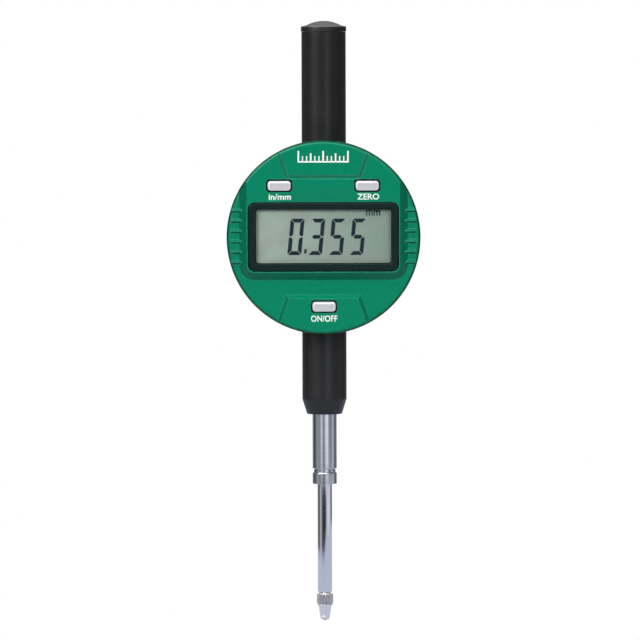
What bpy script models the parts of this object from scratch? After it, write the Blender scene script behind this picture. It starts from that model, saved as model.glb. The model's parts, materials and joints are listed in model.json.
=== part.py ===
"""Digital dial indicator with a round turning head, an 8 mm clamping stem and a 25.4 mm spindle.

The frame is +Z up with the spindle on the Z axis. The origin is on that axis at the middle of the
bare stem, where a holder clamps it. The dial faces -Y and the fixing lug points to +Y. Every number
below is in millimetres, and MM turns it into the metres that Blender uses.
"""

from math import cos, pi, radians, sin

import bmesh
import bpy
from mathutils import Matrix, Vector
from mathutils.geometry import interpolate_bezier, tessellate_polygon

MM = 0.001
GAP = 0.3                        # between pieces that rest on each other

# Head
HEAD_Z = 68.0                    # height of the head's centre
HEAD_R = 32.0
COVER_REAR = -9.1                # rear face of the green cover's skirt
BASE_FACE = -15.5                # lower front face of the cover
PLATEAU_FACE = -18.0             # raised front face that carries the display
COVER_INSIDE = -14.0
COVER_BORE_R = 29.5
RIM_ROUND = 1.1
PLATEAU_HALF_WIDTH = 25.3
PLATEAU_BOTTOM = -11.7           # from the head's centre
PLATEAU_SLOPE = 2.5              # how far its walls lean out
PLATEAU_CORNER = 2.4             # radius of its lower corners, at the top of the walls
PANEL_FACE = -16.8               # raised panel around the power button
UPPER_PANEL_FACE = -18.3         # raised panel above the display
PANEL_LIMIT_R = 30.8             # where the rim ends both panels
RIB_COUNT = 6
RIB_PITCH = 3.42
RIB_TOP = 8.95                   # from the head's centre
RIB_SPAN = (26.4, 30.4)
RIB_HEIGHT, RIB_PROUD = 1.2, 1.15

# Display
BEZEL_SIZE = (49.4, 22.4)
APERTURE_SIZE = (44.4, 17.6)
GLASS_SIZE = (45.6, 18.8)
GLASS_CENTRE = (0.1, 0.46)       # from the head's centre
BEZEL_FRONT = -18.1
BEZEL_LIP = (-13.7, -12.9)       # behind the cover, above and below the display
WINDOW_DEPTHS = (-17.0, -16.0)
LCD_DEPTHS = (-15.7, -14.1)
STRIP_DEPTHS = (-13.8, -11.5)
STRIP_HEIGHTS = (9.3, -8.4)
BOARD_DEPTHS = (-11.2, -10.2)
BOARD_R = 28.6
BOARD_POST_X = 27.2

# Buttons
BUTTON_SIZE = (7.6, 3.2)
BUTTON_TRAVEL = 0.7
BUTTON_PROUD = 0.9
BUTTON_GAP = 0.45                # all round in its hole
BUTTON_FLANGE = (-13.7, -13.2)
BUTTON_SPOTS = {"unit": (-14.5, 17.1), "zero": (14.5, 17.1), "power": (0.15, -22.8)}

# Case
CASE_R = 31.3
CASE_BORE_R = 29.3
CASE_FRONT, CASE_REAR = -8.8, 9.3
FLANGE_R = 25.0
FLANGE_REAR = -7.8
RING_GROOVE = (29.9, 30.9)       # for the friction ring, in the front edge
HUB_FRONT, HUB_R = -8.7, 24.8    # hub of the retainer ring, which turns in the flange
LIP_DEPTHS, LIP_R = (-7.5, -6.7), 26.5
RETAINER_SCREW_R = 23.2
RETAINER_SCREW_ANGLES = (90, 222, 318)
STOP_ANGLE = 142.5               # of each turn stop, from the top of the head
PLATE_FRONT, PLATE_REAR = 9.6, 11.6
PLATE_SCREW_R = 27.3
PLATE_SCREW_ANGLES = (45, 135, 225, 315)
SENSOR_SCREW = (-23.2, 10.0)     # x and height of a sensor board screw
LUG_HALF_WIDTH = 2.5
LUG_HOLE_Y = 18.0
LUG_HOLE_R = 3.25
LUG_END_R = 6.5

# Battery
BATTERY_X = 15.5
BATTERY_R = 10.0
BATTERY_FRONT, BATTERY_REAR = 4.3, 7.5
COVER_R = 11.5
HOLDER_EAR = (22.8, 14.0)        # x and height of an ear's screw

# Tubes and stem, heights in the part's frame
TUBE_R, TUBE_BORE_R = 7.35, 6.0
TUBE_BOTTOM, TUBE_TOP = 96.6, 135.6
CAP_EDGE, CAP_APEX = 137.6, 139.45
SLEEVE_TOP, CONE_TOP, CONE_BOTTOM = 39.4, 13.9, 8.9
CONE_END_R = 5.8
STEM_R = 4.0
STEM_BOTTOM, STEM_TOP = -9.4, 43.5
COLLAR_TOP, COLLAR_BOTTOM = -10.7, -14.4

# Spindle
SPINDLE_R = 2.38
RUNNING_R = 2.45                 # bore of what the spindle runs in
SPINDLE_BOTTOM, SPINDLE_TOP = -50.55, 103.0
TIP_BOTTOM = -60.1
BALL_R = 1.0
KNURL_R, KNURL_TOP, KNURL_BOTTOM = 2.7, -51.4, -53.9
CONE_SHOULDER_R, POINT_FOOT_R, POINT_FOOT = 2.05, 1.34, -59.7
CARRIAGE_BOTTOM, CARRIAGE_TOP = 45.5, 59.5
GUIDE_X = -10.5
GUIDE_R = 1.25
SPRING_BOTTOM, SPRING_TOP = 102.7, 135.0
SPRING_TURNS = 8
SPRING_R, SPRING_WIRE = 3.3, 0.5

# Steps round a circle
FINE, MEDIUM, COARSE, SMALL = 64, 36, 24, 12


# ---------------------------------------------------------------- shapes

def material(name, colour, roughness, metallic=0.0):
    made = bpy.data.materials.new(name)
    made.use_nodes = True
    made.diffuse_color = (*colour, 1.0)
    shader = made.node_tree.nodes["Principled BSDF"]
    shader.inputs["Base Color"].default_value = (*colour, 1.0)
    shader.inputs["Roughness"].default_value = roughness
    shader.inputs["Metallic"].default_value = metallic
    return made


def mesh_from(name, points, faces):
    """A mesh in metres from points in millimetres, with its faces turned outwards."""
    mesh = bpy.data.meshes.new(name)
    mesh.from_pydata([Vector(p) * MM for p in points], [], faces)
    shape = bmesh.new()
    shape.from_mesh(mesh)
    bmesh.ops.recalc_face_normals(shape, faces=shape.faces)
    shape.to_mesh(mesh)
    shape.free()
    return mesh


def shade(mesh):
    mesh.shade_smooth()
    mesh.set_sharp_from_angle(angle=radians(32))


def add(name, mesh, finish, at=(0, 0, 0), parent=None):
    """Puts a mesh in the scene as an object at a point in the part's frame."""
    shade(mesh)
    if not mesh.materials:
        mesh.materials.append(finish)
    made = bpy.data.objects.new(name, mesh)
    bpy.context.scene.collection.objects.link(made)
    made.location = Vector(at) * MM
    if parent:
        made.location -= parent.location
        made.parent = parent
    return made


def joint_empty(name, at):
    made = bpy.data.objects.new(name, None)
    made.empty_display_size = 5 * MM
    made.location = Vector(at) * MM
    bpy.context.scene.collection.objects.link(made)
    return made


def turned(name, profile, steps, axis="Z"):
    """A closed (radius, height) profile turned round an axis through the mesh's origin."""
    points, rings = [], []
    for radius, height in profile:
        count = 1 if radius == 0 else steps
        rings.append([len(points) + i for i in range(count)])
        for i in range(count):
            turn = 2 * pi * i / steps
            points.append((radius * cos(turn), radius * sin(turn), height))
    faces = []
    for this, other in zip(rings, rings[1:] + rings[:1]):
        for i in range(steps):
            j = (i + 1) % steps
            corners = [this[i % len(this)], this[j % len(this)]]
            corners += [other[j % len(other)], other[i % len(other)]]
            corners = list(dict.fromkeys(corners))
            if len(corners) > 2:
                faces.append(corners)
    mesh = mesh_from(name, points, faces)
    if axis == "Y":
        mesh.transform(Matrix(((1, 0, 0, 0), (0, 0, 1, 0), (0, 1, 0, 0), (0, 0, 0, 1))))
        mesh.flip_normals()
    return mesh


PLANES = {
    "X": lambda u, v, depth: (depth, u, v),
    "Y": lambda u, v, depth: (u, depth, v),
    "Z": lambda u, v, depth: (u, v, depth),
}


def slab(name, outline, low, high, axis="Y", holes=()):
    """A flat outline with holes, extruded along an axis. X takes (y, z), Y takes (x, z), Z takes (x, y)."""
    place, loops = PLANES[axis], [list(outline), *map(list, holes)]
    flat = [p for loop in loops for p in loop]
    caps = tessellate_polygon([[Vector((u, v, 0)) for u, v in loop] for loop in loops])
    count = len(flat)
    points = [place(u, v, low) for u, v in flat] + [place(u, v, high) for u, v in flat]
    faces = [tuple(t) for t in caps] + [tuple(i + count for i in reversed(t)) for t in caps]
    start = 0
    for loop in loops:
        for i in range(len(loop)):
            a, b = start + i, start + (i + 1) % len(loop)
            faces.append((a, b, b + count, a + count))
        start += len(loop)
    return mesh_from(name, points, faces)


def lofted(name, sections, closed=False):
    """Outlines of equal length at (y, outline) joined one to the next, as a solid or a closed ring."""
    count = len(sections[0][1])
    points = [(x, y, z) for y, outline in sections for x, z in outline]
    faces = []
    pairs = [(k, k + 1) for k in range(len(sections) - 1)]
    if closed:
        pairs.append((len(sections) - 1, 0))
    else:
        last = (len(sections) - 1) * count
        faces = [tuple(range(count)), tuple(last + i for i in reversed(range(count)))]
    for k, m in pairs:
        for i in range(count):
            j = (i + 1) % count
            faces.append((k * count + i, k * count + j, m * count + j, m * count + i))
    return mesh_from(name, points, faces)


def box(name, low, high):
    (x0, y0, z0), (x1, y1, z1) = low, high
    return lofted(name, [(y, [(x0, z0), (x1, z0), (x1, z1), (x0, z1)]) for y in (y0, y1)])


def circle(radius, steps, centre=(0, 0)):
    """A round outline with a flat, not a corner, on each axis."""
    turns = [2 * pi * (i + 0.5) / steps for i in range(steps)]
    return [(centre[0] + radius * cos(t), centre[1] + radius * sin(t)) for t in turns]


def rounded(width, height, radius, centre=(0, 0), corner_steps=4):
    """A rectangle with round corners, anticlockwise."""
    outline = []
    for k, (sx, sy) in enumerate(((1, 1), (-1, 1), (-1, -1), (1, -1))):
        cx, cy = centre[0] + sx * (width / 2 - radius), centre[1] + sy * (height / 2 - radius)
        for i in range(corner_steps + 1):
            turn = pi / 2 * (k + i / corner_steps)
            outline.append((cx + radius * cos(turn), cy + radius * sin(turn)))
    return outline


def combined(mesh, tools, operation):
    """The mesh after a Boolean with each tool mesh, all of them round the same origin."""
    names = {"join": "UNION", "cut": "DIFFERENCE", "keep": "INTERSECT"}
    target = bpy.data.objects.new(mesh.name, mesh)
    bpy.context.scene.collection.objects.link(target)
    helpers = []
    for tool in tools:
        helper = bpy.data.objects.new(tool.name, tool)
        bpy.context.scene.collection.objects.link(helper)
        helpers.append(helper)
        step = target.modifiers.new(tool.name, "BOOLEAN")
        step.operation, step.solver, step.object = names[operation], "EXACT", helper
    bpy.context.view_layer.update()
    made = bpy.data.meshes.new_from_object(target.evaluated_get(bpy.context.evaluated_depsgraph_get()))
    made.name = mesh.name
    for spent in (target, *helpers):
        bpy.data.objects.remove(spent)
    return made


def moved(mesh, offset):
    mesh.transform(Matrix.Translation(Vector(offset) * MM))
    return mesh


def rod(name, radius, low, high, steps=SMALL, axis="Y", centre=(0, 0)):
    """A plain round bar along an axis, with its centre line at (u, v)."""
    return slab(name, circle(radius, steps, centre), low, high, axis)


def screw_mesh(name, head_r, head_height, shank_r, length, countersunk=False):
    """A slotted screw along Y: the head's top is at y = head_height and the shank runs to y = -length."""
    profile = [(0, -length), (shank_r, -length), (shank_r, 0)]
    if not countersunk:
        profile.append((head_r, 0))
    profile += [(head_r, head_height), (0, head_height)]
    slot_half, slot_depth = 0.16 * head_r, 0.45 * head_height
    reach = 1.2 * head_r
    slot = box("slot", (-reach, head_height - slot_depth, -slot_half), (reach, head_height + 1, slot_half))
    return combined(turned(name, profile, SMALL, "Y"), [slot], "cut")


def polar(radius, degrees):
    return radius * cos(radians(degrees)), radius * sin(radians(degrees))


# ---------------------------------------------------------------- dial head

def front_cover_mesh():
    """The green cover: a cup with a raised plateau, a raised lower panel, grip ribs and openings."""
    corner = [
        (HEAD_R - RIM_ROUND + RIM_ROUND * sin(t), PLATEAU_FACE + RIM_ROUND - RIM_ROUND * cos(t))
        for t in (pi / 2, pi / 3, pi / 6, 0)
    ]
    profile = [(COVER_BORE_R, COVER_REAR), (HEAD_R, COVER_REAR), *corner, (0, PLATEAU_FACE)]
    profile += [(0, COVER_INSIDE), (COVER_BORE_R, COVER_INSIDE)]
    shell = turned("front_cover", profile, FINE, "Y")

    def around_plateau(lean):
        bottom, beyond = PLATEAU_BOTTOM - lean, HEAD_R + 8
        size = (2 * (PLATEAU_HALF_WIDTH + lean), beyond - bottom)
        return rounded(*size, PLATEAU_CORNER + lean, (0, (beyond + bottom) / 2))

    far = rounded(100, 100, 1)
    above = PLATEAU_FACE - 1.0
    lean_above = PLATEAU_SLOPE * (above - PLATEAU_FACE) / (BASE_FACE - PLATEAU_FACE)
    sections = [(BASE_FACE, far), (above, far), (above, around_plateau(lean_above))]
    sections.append((BASE_FACE, around_plateau(PLATEAU_SLOPE)))
    step_cutter = lofted("step", sections, closed=True)
    shell = combined(shell, [step_cutter], "cut")

    def panel(top_half, bottom_half, top, bottom):
        return [(-top_half, top), (top_half, top), (bottom_half, bottom), (-bottom_half, bottom)]

    sunk, edge = 0.4, HEAD_R
    raised = [
        lofted("lower_panel", [
            (BASE_FACE + sunk, panel(12.6, 17.0, -18.9, -edge)),
            (PANEL_FACE, panel(11.4, 15.5, -20.1, -edge)),
        ]),
        lofted("upper_panel", [
            (PLATEAU_FACE + sunk, panel(15.9, 12.2, edge, 20.0)),
            (UPPER_PANEL_FACE, panel(15.1, 11.4, edge, 20.6)),
        ]),
    ]
    extras = []
    for shape in raised:
        limit = slab("limit", circle(PANEL_LIMIT_R, FINE), PLATEAU_FACE - 2, COVER_INSIDE)
        extras.append(combined(shape, [limit], "keep"))
    for side in (-1, 1):
        for k in range(RIB_COUNT):
            z = RIB_TOP - k * RIB_PITCH
            inner, outer = side * RIB_SPAN[0], side * RIB_SPAN[1]
            extras.append(box("rib", (min(inner, outer), BASE_FACE - RIB_PROUD, z - RIB_HEIGHT / 2),
                              (max(inner, outer), BASE_FACE + sunk, z + RIB_HEIGHT / 2)))
    for degrees in RETAINER_SCREW_ANGLES:
        spot = polar(RETAINER_SCREW_R, degrees)
        extras.append(rod("post", 1.9, COVER_INSIDE - sunk, HUB_FRONT - GAP, SMALL, "Y", spot))
    for side in (-1, 1):
        spot = (side * BOARD_POST_X, 0)
        extras.append(rod("board_post", 1.4, COVER_INSIDE - sunk, BOARD_DEPTHS[0] - GAP, SMALL, "Y", spot))
    shell = combined(shell, extras, "join")

    outside, inside = -20, -12
    width, height = BEZEL_SIZE
    cuts = [slab("window", rounded(width + 2 * GAP, height + 2 * GAP, 2.4), outside, inside)]
    width, height = (side + 2 * BUTTON_GAP for side in BUTTON_SIZE)
    for spot in BUTTON_SPOTS.values():
        cuts.append(slab("button_hole", rounded(width, height, 1.3, spot), outside, inside))
    for degrees in RETAINER_SCREW_ANGLES:
        cuts.append(rod("screw_hole", 1.15, -13.6, -8, SMALL, "Y", polar(RETAINER_SCREW_R, degrees)))
    for side in (-1, 1):
        cuts.append(rod("board_hole", 0.8, -13.8, -11, SMALL, "Y", (side * BOARD_POST_X, 0)))
    return combined(shell, cuts, "cut")


def bezel_mesh():
    width, height = BEZEL_SIZE
    outer = rounded(width, height, 2.1)
    front = rounded(width - 0.6, height - 0.6, 1.8)
    lip = rounded(width, height + 2.8, 2.1)
    pocket = rounded(GLASS_SIZE[0] + 0.6, GLASS_SIZE[1] + 0.6, 1.0, GLASS_CENTRE)
    aperture = rounded(*APERTURE_SIZE, 0.9, GLASS_CENTRE)
    opening = rounded(APERTURE_SIZE[0] + 0.6, APERTURE_SIZE[1] + 0.6, 1.1, GLASS_CENTRE)
    ledge = WINDOW_DEPTHS[0] - GAP
    return lofted("display_bezel", [
        (BEZEL_FRONT, front), (BEZEL_FRONT + 0.3, outer), (BEZEL_LIP[0], outer), (BEZEL_LIP[0], lip),
        (BEZEL_LIP[1], lip), (BEZEL_LIP[1], pocket), (ledge, pocket), (ledge, aperture),
        (BEZEL_FRONT, opening),
    ], closed=True)


def glass_mesh(name, depths):
    return slab(name, rounded(*GLASS_SIZE, 0.8, GLASS_CENTRE), *depths)


def main_board_mesh():
    holes = [circle(2.2, SMALL, polar(RETAINER_SCREW_R, d)) for d in RETAINER_SCREW_ANGLES]
    holes += [circle(0.95, SMALL, (side * BOARD_POST_X, 0)) for side in (-1, 1)]
    return slab("main_board", circle(BOARD_R, MEDIUM), *BOARD_DEPTHS, "Y", holes)


def button_mesh(name, front):
    """A cap with a bevelled edge and a flange that keeps it in its hole. front is the cap's face."""
    width, height = BUTTON_SIZE
    cap = rounded(width, height, 0.9)
    top = rounded(width - 1.6, height - 1.6, 0.45)
    flange = rounded(width + 1.5, height + 1.5, 1.3)
    near, far = BUTTON_FLANGE
    return lofted(name, [(front, top), (front + 0.5, cap), (near, cap), (near, flange), (far, flange)])


def retainer_ring_mesh():
    """Turns in the case's flange by its hub, and its lip behind the flange holds the head on."""
    inner_r, (near, far) = 21.6, LIP_DEPTHS
    profile = [
        (inner_r, HUB_FRONT), (HUB_R, HUB_FRONT), (HUB_R, near),
        (LIP_R, near), (LIP_R, far), (inner_r, far),
    ]
    ring = turned("retainer_ring", profile, MEDIUM, "Y")
    tab = [polar(LIP_R - 0.7, a) for a in (94, 90, 86)] + [polar(LIP_R + 1.3, a) for a in (86, 90, 94)]
    ring = combined(ring, [slab("stop_tab", tab, near + 0.05, far - 0.05)], "join")
    spots = [polar(RETAINER_SCREW_R, degrees) for degrees in RETAINER_SCREW_ANGLES]
    holes = [rod("hole", 1.2, -10, -5, SMALL, "Y", spot) for spot in spots]
    return combined(ring, holes, "cut")


def dial_head(finish):
    centre = (0, 0, HEAD_Z)
    axis = joint_empty("head_turn_axis", centre)
    add("front_cover", front_cover_mesh(), finish["green"], centre, axis)
    add("display_bezel", bezel_mesh(), finish["bezel"], centre, axis)
    add("display_window", glass_mesh("display_window", WINDOW_DEPTHS), finish["clear"], centre, axis)
    add("lcd_panel", glass_mesh("lcd_panel", LCD_DEPTHS), finish["lcd"], centre, axis)
    (near, far), half_length, half_height = STRIP_DEPTHS, 21.5, 0.6
    for name, z in zip(("zebra_strip_top", "zebra_strip_bottom"), STRIP_HEIGHTS):
        strip = box(name, (-half_length, near, z - half_height), (half_length, far, z + half_height))
        add(name, strip, finish["elastomer"], centre, axis)
    add("main_board", main_board_mesh(), finish["board"], centre, axis)
    chip = box("main_board_chip", (-4, BOARD_DEPTHS[1] + GAP, -4), (4, BOARD_DEPTHS[1] + GAP + 1.1, 4))
    add("main_board_chip", chip, finish["chip"], centre, axis)
    board_screw = screw_mesh("board_screw", 1.5, 0.7, 0.6, 3.0)
    for k, side in enumerate((-1, 1), 1):
        spot = (side * BOARD_POST_X, BOARD_DEPTHS[1] + GAP, HEAD_Z)
        add(f"main_board_screw_{k}", board_screw, finish["steel"], spot, axis)
    seat, crown = BOARD_DEPTHS[0] - GAP, BUTTON_FLANGE[1] + BUTTON_TRAVEL + 0.15
    dome = [(0, seat), (2.5, seat), (2.5, seat - GAP), (1.7, crown + 0.15), (0, crown)]
    dome_mesh = turned("switch_dome", dome, SMALL, "Y")
    for k, (x, z) in enumerate(BUTTON_SPOTS.values(), 1):
        add(f"switch_dome_{k}", dome_mesh, finish["steel"], (x, 0, HEAD_Z + z), axis)
    add("retainer_ring", retainer_ring_mesh(), finish["steel"], centre, axis)
    ring_screw = screw_mesh("retainer_screw", 1.9, 0.8, 0.95, 6.4)
    for k, degrees in enumerate(RETAINER_SCREW_ANGLES, 1):
        x, z = polar(RETAINER_SCREW_R, degrees)
        add(f"retainer_screw_{k}", ring_screw, finish["steel"], (x, LIP_DEPTHS[1] + GAP, HEAD_Z + z), axis)
    plateau_cap = button_mesh("plateau_button", PLATEAU_FACE - BUTTON_PROUD)
    panel_cap = button_mesh("power_button", PANEL_FACE - BUTTON_PROUD)
    for name, (x, z) in BUTTON_SPOTS.items():
        at = (x, 0, HEAD_Z + z)
        push = joint_empty(f"{name}_press_axis", at)
        add(f"{name}_button", panel_cap if name == "power" else plateau_cap, finish["key"], at, push)
        push.location -= axis.location
        push.parent = axis


# ---------------------------------------------------------------- case and back

def rear_case_mesh():
    """The black case: a ring with a front flange, bored at top and bottom for the tubes."""
    (groove_in, groove_out), groove_floor = RING_GROOVE, CASE_FRONT + 0.85
    profile = [
        (FLANGE_R, CASE_FRONT), (groove_in, CASE_FRONT), (groove_in, groove_floor),
        (groove_out, groove_floor), (groove_out, CASE_FRONT), (CASE_R, CASE_FRONT), (CASE_R, CASE_REAR),
        (CASE_BORE_R, CASE_REAR), (CASE_BORE_R, FLANGE_REAR), (FLANGE_R, FLANGE_REAR),
    ]
    ring = turned("rear_case", profile, FINE, "Y")
    extras = []
    for height in ((-28.0, -23.2), (22.0, 28.0)):
        extras.append(box("guide_boss", (GUIDE_X - 2.4, -3, height[0]), (GUIDE_X + 2.3, 3, height[1])))
    for side in (-1, 1):
        low, high = sorted((side * (SENSOR_SCREW[1] - 2), side * (SENSOR_SCREW[1] + 2)))
        extras.append(box("sensor_ledge", (-29.0, 1.8, low), (-21.4, 4.5, high)))
        low, high = sorted((side * 12.2, side * 16.2))
        extras.append(box("battery_ledge", (20.6, -0.5, low), (26.4, 2.3, high)))
        stop = [polar(LIP_R + 0.4, 90 + side * (STOP_ANGLE + a)) for a in (-3, 3)]
        stop += [polar(30.0, 90 + side * (STOP_ANGLE + a)) for a in (3, -3)]
        extras.append(slab("turn_stop", stop, FLANGE_REAR - 0.4, LIP_DEPTHS[1] + 0.1))
    for degrees in PLATE_SCREW_ANGLES:
        extras.append(rod("plate_post", 2.3, 1.0, 9.1, SMALL, "Y", polar(PLATE_SCREW_R, degrees)))
    ring = combined(ring, extras, "join")
    cuts = []
    for low, high in ((-36, -26), (26, 36)):
        cuts.append(rod("tube_bore", TUBE_R + 0.25, low, high, MEDIUM, "Z"))
    for low, high in ((-26.2, -20), (20, 26.2)):
        cuts.append(rod("guide_hole", GUIDE_R + 0.15, low, high, SMALL, "Z", (GUIDE_X, 0)))
    for side in (-1, 1):
        cuts.append(rod("sensor_hole", 0.75, 2.4, 6, SMALL, "Y", (SENSOR_SCREW[0], side * SENSOR_SCREW[1])))
        cuts.append(rod("battery_hole", 0.75, 0.2, 4, SMALL, "Y", (HOLDER_EAR[0], side * HOLDER_EAR[1])))
    for degrees in PLATE_SCREW_ANGLES:
        cuts.append(rod("plate_hole", 1.05, 3, 12, SMALL, "Y", polar(PLATE_SCREW_R, degrees)))
    return combined(ring, cuts, "cut")


def battery_hole_outline():
    """The hole for the battery cover, with a notch above and below to let its two tabs through."""
    outline = []
    steps = 48
    for i in range(steps):
        turn = 2 * pi * i / steps
        radius = 12.9 if abs(sin(turn)) > cos(radians(16)) else COVER_R + 0.4
        outline.append((BATTERY_X + radius * cos(turn), radius * sin(turn)))
    return outline


def lug_back_mesh():
    """The back plate with the fixing lug in the middle."""
    corners = [polar(PLATE_SCREW_R, d) for d in PLATE_SCREW_ANGLES]
    plate = slab("lug_back", circle(CASE_R, FINE), PLATE_FRONT, PLATE_REAR, "Y", [battery_hole_outline()])
    turns = [pi * k / 12 - pi / 2 for k in range(13)]
    end = [(LUG_HOLE_Y + LUG_END_R * cos(t), LUG_END_R * sin(t)) for t in turns]
    outline = [(PLATE_REAR - 0.5, -LUG_END_R - 1.2), (PLATE_REAR + 1.2, -LUG_END_R), *end]
    outline += [(PLATE_REAR + 1.2, LUG_END_R), (PLATE_REAR - 0.5, LUG_END_R + 1.2)]
    cross_hole = circle(LUG_HOLE_R, COARSE, (LUG_HOLE_Y, 0))
    lug = slab("lug", outline, -LUG_HALF_WIDTH, LUG_HALF_WIDTH, "X", [cross_hole])
    sinks = []
    for x, z in corners:
        cone = turned("sink", [(0, 9), (1.4, 9), (1.4, 10.1), (3.0, 11.7), (3.0, 13), (0, 13)], SMALL, "Y")
        sinks.append(moved(cone, (x, 0, z)))
    return combined(combined(plate, [lug], "join"), sinks, "cut")


def battery_cover_mesh():
    """A coin-slot cover round its own axis, with two tabs that lock under the back plate."""
    profile = [
        (9.6, 8.3), (COVER_R - 0.2, 8.3), (COVER_R - 0.2, 9.9), (10.9, 9.9), (10.9, 10.9), (COVER_R, 10.9),
        (COVER_R, 11.6), (COVER_R - 0.3, 11.9), (0, 11.9), (0, 10.6), (9.6, 10.6),
    ]
    cover = turned("battery_cover", profile, MEDIUM, "Y")
    tabs = []
    for facing in (0, 180):
        inner = [polar(10.6, facing + a) for a in (-13, 0, 13)]
        outer = [polar(12.6, facing + a) for a in (13, 0, -13)]
        tabs.append(slab("tab", inner + outer, 8.35, 9.2))
    cover = combined(cover, tabs, "join")
    return combined(cover, [box("coin_slot", (-7.0, 11.1, -0.9), (7.0, 13, 0.9))], "cut")


def battery_holder_mesh():
    """A cup for the coin cell with two screw ears, open on one side for the positive contact."""
    profile = [(2.5, 2.6), (11.6, 2.6), (11.6, 7.9), (10.3, 7.9), (10.3, 3.4), (2.5, 3.4)]
    cup = moved(turned("battery_holder", profile, MEDIUM, "Y"), (BATTERY_X, 0, 0))
    ears = []
    for side in (-1, 1):
        low, high = sorted((side * 9.4, side * 15.6))
        ears.append(box("ear", (20.6, 2.65, low), (24.4, 3.35, high)))
    cup = combined(cup, ears, "join")
    cuts = [box("contact_gap", (BATTERY_X - 2.4, 3.4, 9.0), (BATTERY_X + 2.4, 9, 13.0))]
    for side in (-1, 1):
        cuts.append(rod("ear_hole", 0.95, 1, 5, SMALL, "Y", (HOLDER_EAR[0], side * HOLDER_EAR[1])))
    return combined(cup, cuts, "cut")


def case_and_back(finish):
    centre = (0, 0, HEAD_Z)
    add("rear_case", rear_case_mesh(), finish["case"], centre)
    add("lug_back", lug_back_mesh(), finish["case"], centre)
    plate_screw = screw_mesh("plate_screw", 2.6, 1.3, 0.95, 6.0, countersunk=True)
    for k, degrees in enumerate(PLATE_SCREW_ANGLES, 1):
        x, z = polar(PLATE_SCREW_R, degrees)
        add(f"lug_back_screw_{k}", plate_screw, finish["steel"], (x, PLATE_REAR - 1.35, HEAD_Z + z))
    (inner, outer), front = (RING_GROOVE[0] + 0.15, RING_GROOVE[1] - 0.15), COVER_REAR + 0.1
    ring = [(inner, front), (outer, front), (outer, front + 0.9), (inner, front + 0.9)]
    add("friction_ring", turned("friction_ring", ring, MEDIUM, "Y"), finish["rubber"], centre)


def battery_parts(finish):
    centre = (BATTERY_X, 0, HEAD_Z)
    axis = joint_empty("battery_cover_turn_axis", centre)
    add("battery_cover", battery_cover_mesh(), finish["case"], centre, axis)
    seal = [(11.05, 10.05), (11.75, 10.05), (11.75, 10.75), (11.05, 10.75)]
    add("battery_cover_seal", turned("battery_cover_seal", seal, MEDIUM, "Y"), finish["rubber"], centre, axis)
    cell = [
        (0, BATTERY_FRONT), (8.6, BATTERY_FRONT), (8.8, BATTERY_FRONT + 0.3), (9.7, BATTERY_FRONT + 0.4),
        (BATTERY_R, BATTERY_FRONT + 0.8), (BATTERY_R, BATTERY_REAR - 0.1), (BATTERY_R - 0.1, BATTERY_REAR),
        (0, BATTERY_REAR),
    ]
    add("battery", turned("battery", cell, MEDIUM, "Y"), finish["nickel"], centre)
    add("battery_holder", battery_holder_mesh(), finish["holder"], (0, 0, HEAD_Z))
    small_screw = screw_mesh("small_screw", 1.4, 0.7, 0.6, 2.6)
    for k, side in enumerate((-1, 1), 1):
        spot = (HOLDER_EAR[0], 3.65, HEAD_Z + side * HOLDER_EAR[1])
        add(f"battery_holder_screw_{k}", small_screw, finish["steel"], spot)
    leaf = [(-5.0, 3.7), (5.0, 3.7), (5.0, 3.9), (1.2, 4.0), (-1.2, 4.0), (-5.0, 3.9)]
    name = "battery_contact_negative"
    add(name, slab(name, leaf, -1.5, 1.5, "Z"), finish["nickel"], centre)
    angle = [(3.7, 10.35), (7.5, 10.35), (7.5, 10.7), (4.05, 10.7), (4.05, 13.2), (3.7, 13.2)]
    name = "battery_contact_positive"
    add(name, slab(name, angle, -1.8, 1.8, "X"), finish["nickel"], centre)


# ---------------------------------------------------------------- tubes and stem

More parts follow.
